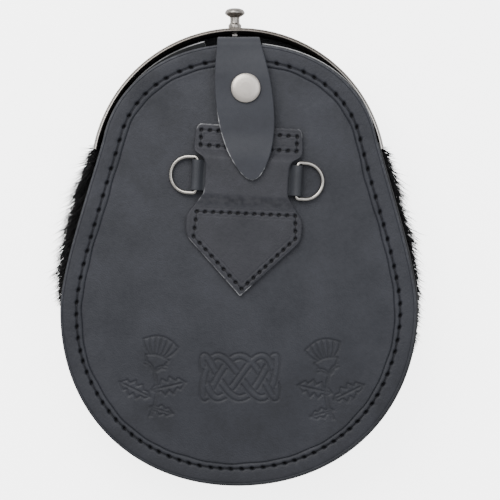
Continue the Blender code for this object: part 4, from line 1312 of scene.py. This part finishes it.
# Ring strap
# A narrow leather strap folded round the straight bars of both D rings. It lies on the back panel
# and is held by the patch over it.

strap_wall = 0.0012
bar_spacing = 0.0501
loop_neck = 0.0036
wire_radius = 0.00095
ring_clearance = 0.0004
loop_radius = wire_radius + ring_clearance + 0.5 * strap_wall
bar_height = 0.0003 + 0.5 * strap_wall + loop_radius
strap_leather = leather("strap_leather", deep=(0.0200, 0.0215, 0.0260), pale=(0.0300, 0.0320, 0.0385),
                        painted_highlight=(0.10, 0.10, 0.11), grain_scale=1500.0, grain_depth=0.00008, rough=0.55)


def strap_line():
    """Middle of the folded strap as across and height: round one bar and back round the other."""
    bar = 0.5 * bar_spacing
    flat = 0.0006 + 1.5 * strap_wall
    line = arc((bar, bar_height), loop_radius, -90, 90, 15)
    for step in np.linspace(0, 1, 8)[1:]:
        line.append((bar - loop_neck * step, flat + (bar_height + loop_radius - flat) * (1 - ease(step))))
    line += [(step * (bar - loop_neck), flat) for step in np.linspace(0.8, -0.8, 9)]
    line += [(-across, height) for across, height in line[:22][::-1]]
    line += [(step * bar, bar_height - loop_radius) for step in np.linspace(-0.85, 0.85, 9)]
    return np.array(line + line[:1])


folded = strap_line()
folded_along = directions(folded, ends=(1.0, 0.0))
strap_ring = strip_ring(0.5 * strap_width, strap_wall, soft=0.0003)


def on_strap(u, v):
    """Point of the strap: u round its section and v along the fold."""
    middle, along = item_at(folded, v), item_at(folded_along, v)
    edge, height = item_at(strap_ring, u)
    x, y = on_pouch(middle[0] + height * along[1], edge)
    return x, y, face_height(x, y) + middle[1] - height * along[0]


grid_piece("ring_strap_leather", len(strap_ring) - 1, len(folded) - 1, on_strap, strap_leather,
           "black_leather", ["ring_strap"], fill=False)


# D rings
# Two rings of bright round wire, each with its straight bar in an end of the strap. They tip down
# until the bow lies on the back.

ring_reach = 0.0140
ring_corner = 0.0015
ring_half = 0.5 * strap_width + ring_clearance + wire_radius


def ring_line():
    """Centre line of a D ring, its bar on the second axis and its bow along the first."""
    straight = ring_reach - wire_radius - ring_half
    line = [(0.0, 0.0), (0.0, 0.5 * ring_half)]
    line += arc((ring_corner, ring_half - ring_corner), ring_corner, 180, 90, 6)
    line += arc((straight, 0.0), ring_half, 90, -90, 41)
    line += arc((ring_corner, ring_corner - ring_half), ring_corner, -90, -180, 6)
    line += [(0.0, -0.5 * ring_half), (0.0, 0.0)]
    return np.array(line)


def over_panel(across, along, height):
    """Place at a height above the back panel's face, in the patch's frame."""
    x, y = on_pouch(across, along)
    return Vector((x, y, face_height(x, y) + height))


wire_nickel = nickel("ring_wire_nickel", deep=(0.26, 0.245, 0.225), pale=(0.40, 0.38, 0.355),
                     smooth=0.14, dull=0.26)
wire_round = 20
wire_line = ring_line()
wire_along = directions(wire_line, ends=(0.0, 1.0))
for side, node_name, body in ((-1, "ring_left", "left_ring"), (1, "ring_right", "right_ring")):
    bar = side * 0.5 * bar_spacing
    middle = over_panel(bar, 0, bar_height)
    bow = over_panel(bar + side * (ring_reach - wire_radius), 0, 0.0003 + wire_radius)
    bar_axis = side * (over_panel(bar, 0.5 * strap_width, bar_height)
                       - over_panel(bar, -0.5 * strap_width, bar_height)).normalized()
    face = (bow - middle).cross(bar_axis).normalized()
    turned = Matrix((bar_axis.cross(face), bar_axis, face)).transposed()

    def on_ring_wire(u, v):
        """Point of the wire: u round it and v along it."""
        centre, along = item_at(wire_line, v), item_at(wire_along, v)
        turn = 2 * math.pi * u
        out = wire_radius * math.cos(turn)
        local = Vector((centre[0] + out * along[1], centre[1] - out * along[0], wire_radius * math.sin(turn)))
        return middle + turned @ local

    grid_piece(node_name + "_wire", wire_round, len(wire_line) - 1, on_ring_wire, wire_nickel, "nickel",
               [node_name], fill=False, body=body, sharp=70)


# Fur front
# Black hide with its short hair left on, sewn over the front panel below the cantle. The hair lies
# down the front, pressed flat where the pouch lies on it, and bushes out along both flanks.

hide_wall = 0.0018
pile = 0.0039
hair_black, hair_tree, hair_shader = new_material("black_hair", Roughness=0.5, Specular_IOR_Level=0.2)
hair_tone = noise(hair_tree, 260.0, 3.0)
hair_streaks = noise(hair_tree, 1500.0, 2.0)
hair_colour = mix_colours(hair_tree, hair_tone, (0.004, 0.004, 0.005), (0.020, 0.019, 0.020))
dress_shader(hair_tree, hair_shader, hair_colour, hair_streaks, strength=0.6, depth=0.0004)
fur_end = share_at_height(cantle_centre.y + cantle_inner * math.sin(cantle_end_angle) - 0.0020)
fur_seat = 0.0010
rim_inset = 0.0008
fringe_outline = {
    # where the hair's tips end beside the left and right flank: height and x on the pouch, in millimetres
    -1: [(-31.9, -92.2), (-27.8, -93.3), (-17.5, -94.3), (-11.3, -93.7), (1.1, -91.3), (13.5, -88.6),
         (25.8, -84.6), (38.2, -81.0), (48.5, -76.8), (53.1, -74.2)],
    1: [(-59.2, 88.4), (-48.4, 92.3), (-23.6, 94.2), (-11.3, 92.5), (1.1, 91.1), (13.5, 86.9), (25.8, 83.8),
        (38.2, 80.5), (48.5, 77.3), (53.1, 75.3)],
}


def fur_top(across):
    """Upper edge of the fur: along the cantle's lower edge and its horns, from -1 at the left to 1."""
    horn = 0.9
    side = math.copysign(1, across)
    if abs(across) > horn:
        out = (abs(across) - horn) / (1 - horn)
        reach = horn_reach + (0.0130 - fur_seat) * out
        return np.array([cantle_centre.x + side * reach * math.cos(cantle_end_angle),
                         cantle_centre.y + reach * math.sin(cantle_end_angle) - fur_seat])
    x = across / horn * horn_reach * math.cos(cantle_end_angle)
    return np.array([cantle_centre.x + x, lower_centre + math.sqrt(lower_radius ** 2 - x ** 2) - fur_seat])


def to_fringe(place, heading, side):
    """Distance from a place on the rim, along a heading, to where the hair's tips end."""
    heights, reaches = np.array(fringe_outline[side]).T * millimetre
    distance = 0.005
    for _ in range(6):
        tip_x = float(np.interp(place[1] + distance * heading[1], heights, reaches))
        distance = min(max((tip_x - place[0]) / heading[0], 0.0005), 0.023)
    return distance


def fur_rim(share):
    """Point where the hide ends, just inside the front panel's edge."""
    return np.array(front_edge(share, rim_inset))


def on_hide(u, v):
    """Point of the hide with its matted underfur: u from horn to horn and v round its section."""
    across = 2 * u - 1
    share = across * fur_end
    start, rim = fur_top(across), fur_rim(share)
    lock = 0.5 + 0.5 * math.sin(50 * math.pi * share + 2.0 * math.sin(31 * share))
    under = pile + hide_wall - 0.0001
    section = []
    for step in np.linspace(0, 1, 22):
        wave = 0.5 + 0.5 * math.sin(2 * math.pi * (6 * step + 0.5 * lock))
        section.append((step, pile * (0.55 - 0.4 * wave * min(1.0, 8 * step))))
    section += [(1.0, 0.45 * pile), (1.0, pile + 0.4 * hide_wall), (0.985, under), (0.5, under), (0.0, under),
                (0.0, 0.55 * pile)]
    step, height = item_at(section, v)
    x, y = start + (rim - start) * step
    return x, y, height


hide_across, hide_round = 220, 27
grid_piece("fur_front_hide", hide_across, hide_round, on_hide, hair_black, "black_fur", ["fur_front"],
           sharp=70)


def grow_hair(name, hairs, lift, seed):
    """One mesh of tapering three-sided hairs above the floor, each given as root, tip and half width."""
    chance = np.random.default_rng(seed)
    roots, tips, widths = (np.array(column) for column in zip(*hairs))
    lengths = np.linalg.norm(tips - roots, axis=1)
    headings = (tips - roots) / lengths[:, None]
    side = np.cross(headings, (0, 0, 1.0))
    side /= np.linalg.norm(side, axis=1)[:, None]
    up = np.cross(side, headings)
    sway = chance.normal(0, 0.10, (len(roots), 1))
    points = []
    for step, thick in ((0.0, 1.0), (0.35, 0.85), (0.7, 0.5), (1.0, 0.0)):
        middle = roots + headings * (lengths * step)[:, None]
        middle = middle + side * sway * (lengths * step ** 2)[:, None]
        middle[:, 2] += lift * math.sin(math.pi * step * 0.8) * lengths
        middle[:, 2] = np.maximum(middle[:, 2], 0.00012 + widths * thick)
        corners = [math.pi * (0.5 + 2 * corner / 3) for corner in range(3)] if thick else [0.0]
        for turn in corners:
            reach = (widths * thick)[:, None]
            points.append(middle + reach * (math.cos(turn) * side + math.sin(turn) * up))
    around = ((0, 1), (1, 2), (2, 0))
    faces = [(0, 2, 1)]
    for ring in (0, 3):
        faces += [(ring + near, ring + far, ring + 3 + far, ring + 3 + near) for near, far in around]
    faces += [(6 + near, 6 + far, 9) for near, far in around]
    everywhere = [tuple(len(points) * hair + corner for corner in face)
                  for hair in range(len(roots)) for face in faces]
    mesh = bpy.data.meshes.new(name)
    mesh.from_pydata(np.stack(points, axis=1).reshape(-1, 3).tolist(), [], everywhere)
    hand_over(name, mesh, hair_black)


def unit(heading):
    """The same heading with a length of 1."""
    return heading / np.linalg.norm(heading)


def one_hair(root, heading, length, width):
    """Root, tip and half width of a hair."""
    return root, np.array(root) + unit(np.array(heading)) * length, width


def flank_hair(tufts, hairs_in_tuft, shortest, longest, thin, thick, seed):
    """Tufts that lean down and out past both flanks, to a share of the way to the photo's outline."""
    chance = np.random.default_rng(seed)
    hairs = []
    left_share, upper_share = 0.45, 0.2
    above_hem, upper_low, horn_low, top = 0.006, 0.036, 0.040, 0.0510
    for _ in range(tufts):
        side = -1 if chance.random() < left_share else 1
        in_upper_part = chance.random() < upper_share
        lowest = upper_low if in_upper_part else fringe_outline[side][0][0] * millimetre + above_hem
        height = chance.uniform(lowest, top)
        share = side * share_at_height(height)
        rim, out = fur_rim(share), edge_outward(share)
        near_horn = ease((height - horn_low) / 0.009)
        lean = 1.30 - 0.55 * near_horn + chance.normal(0, 0.15)
        heading = unit(out + np.array([0.0, -1.0]) * lean)
        tip = rim + heading * to_fringe(rim, heading, side) * chance.uniform(shortest, longest)
        tip_height = chance.uniform(0.0006, 0.0100 + 0.010 * near_horn)
        for _ in range(hairs_in_tuft):
            back = heading * chance.uniform(0.0005, 0.010)
            slip = np.array([-out[1], out[0]]) * chance.normal(0, 0.0009)
            end = tip - heading * abs(chance.normal(0, 0.0017)) + chance.normal(0, 0.00055, 2)
            root = (*(rim - back + slip), chance.uniform(0.0016, 0.0054))
            end = (*end, max(0.0003, tip_height + chance.normal(0, 0.0006)))
            hairs.append((root, end, chance.uniform(thin, thick)))
    return hairs


def hem_hair(count, seed):
    """Hair along the hem, which ends just past its edge."""
    chance = np.random.default_rng(seed)
    hairs = []
    hem_end = share_at_height(-0.030)
    for share in chance.uniform(-hem_end, hem_end, count):
        out = edge_outward(share)
        heading = unit(out + np.array([0.0, -1.0]) * chance.uniform(0.1, 0.9))
        inset = chance.uniform(0.0005, 0.009)
        root = (*(fur_rim(share) - inset * out), chance.uniform(0.0014, 0.0050))
        length = (inset + chance.uniform(0.0002, 0.0014)) / max(heading @ out, 0.4)
        heading = (*heading, chance.uniform(-0.15, 0.15))
        hairs.append(one_hair(root, heading, length, chance.uniform(0.00007, 0.00012)))
    return hairs


def front_hair(count, seed):
    """Hair that lies down the front in soft locks and stops at the hem."""
    chance = np.random.default_rng(seed)
    hairs = []
    for _ in range(count):
        across = chance.uniform(-1, 1)
        step = chance.uniform(0.0, 0.97) ** 0.9
        start, rim = fur_top(across), fur_rim(across * fur_end)
        place = start + (rim - start) * step
        spread = 0.35 * (place[0] - panel_x) / panel_half_width
        lock = 0.12 * math.sin(place[0] * 420 + 3 * math.sin(place[1] * 160))
        heading = unit(np.array([spread + lock + chance.normal(0, 0.07), -1.0]))
        length = min(chance.uniform(0.011, 0.019), np.linalg.norm(rim - place) + 0.0015)
        root = (*place, chance.uniform(0.0010, 0.0024))
        hairs.append(one_hair(root, (*heading, -0.05), length, chance.uniform(0.00009, 0.00015)))
    return hairs


fringe = [
    # name, tufts, hairs in a tuft, shortest and longest share of the way, thinnest and thickest, two seeds
    ("fur_flank_locks", 5600, 1, 0.52, 0.96, 0.00028, 0.00050, 15, 16),
    ("fur_flank_spikes", 700, 3, 0.86, 1.18, 0.00026, 0.00040, 17, 18),
    ("fur_flank_hair", 220, 4, 0.98, 1.34, 0.00015, 0.00023, 11, 12),
]
for name, *tuft, seed in fringe:
    grow_hair(name, flank_hair(*tuft), 0.05, seed)
grow_hair("fur_hem_hair", hem_hair(5000, 13), 0.03, 14)
grow_hair("fur_front_hair_under", front_hair(11000, 21), 0.02, 22)
grow_hair("fur_front_hair_over", front_hair(11000, 31), -0.01, 32)
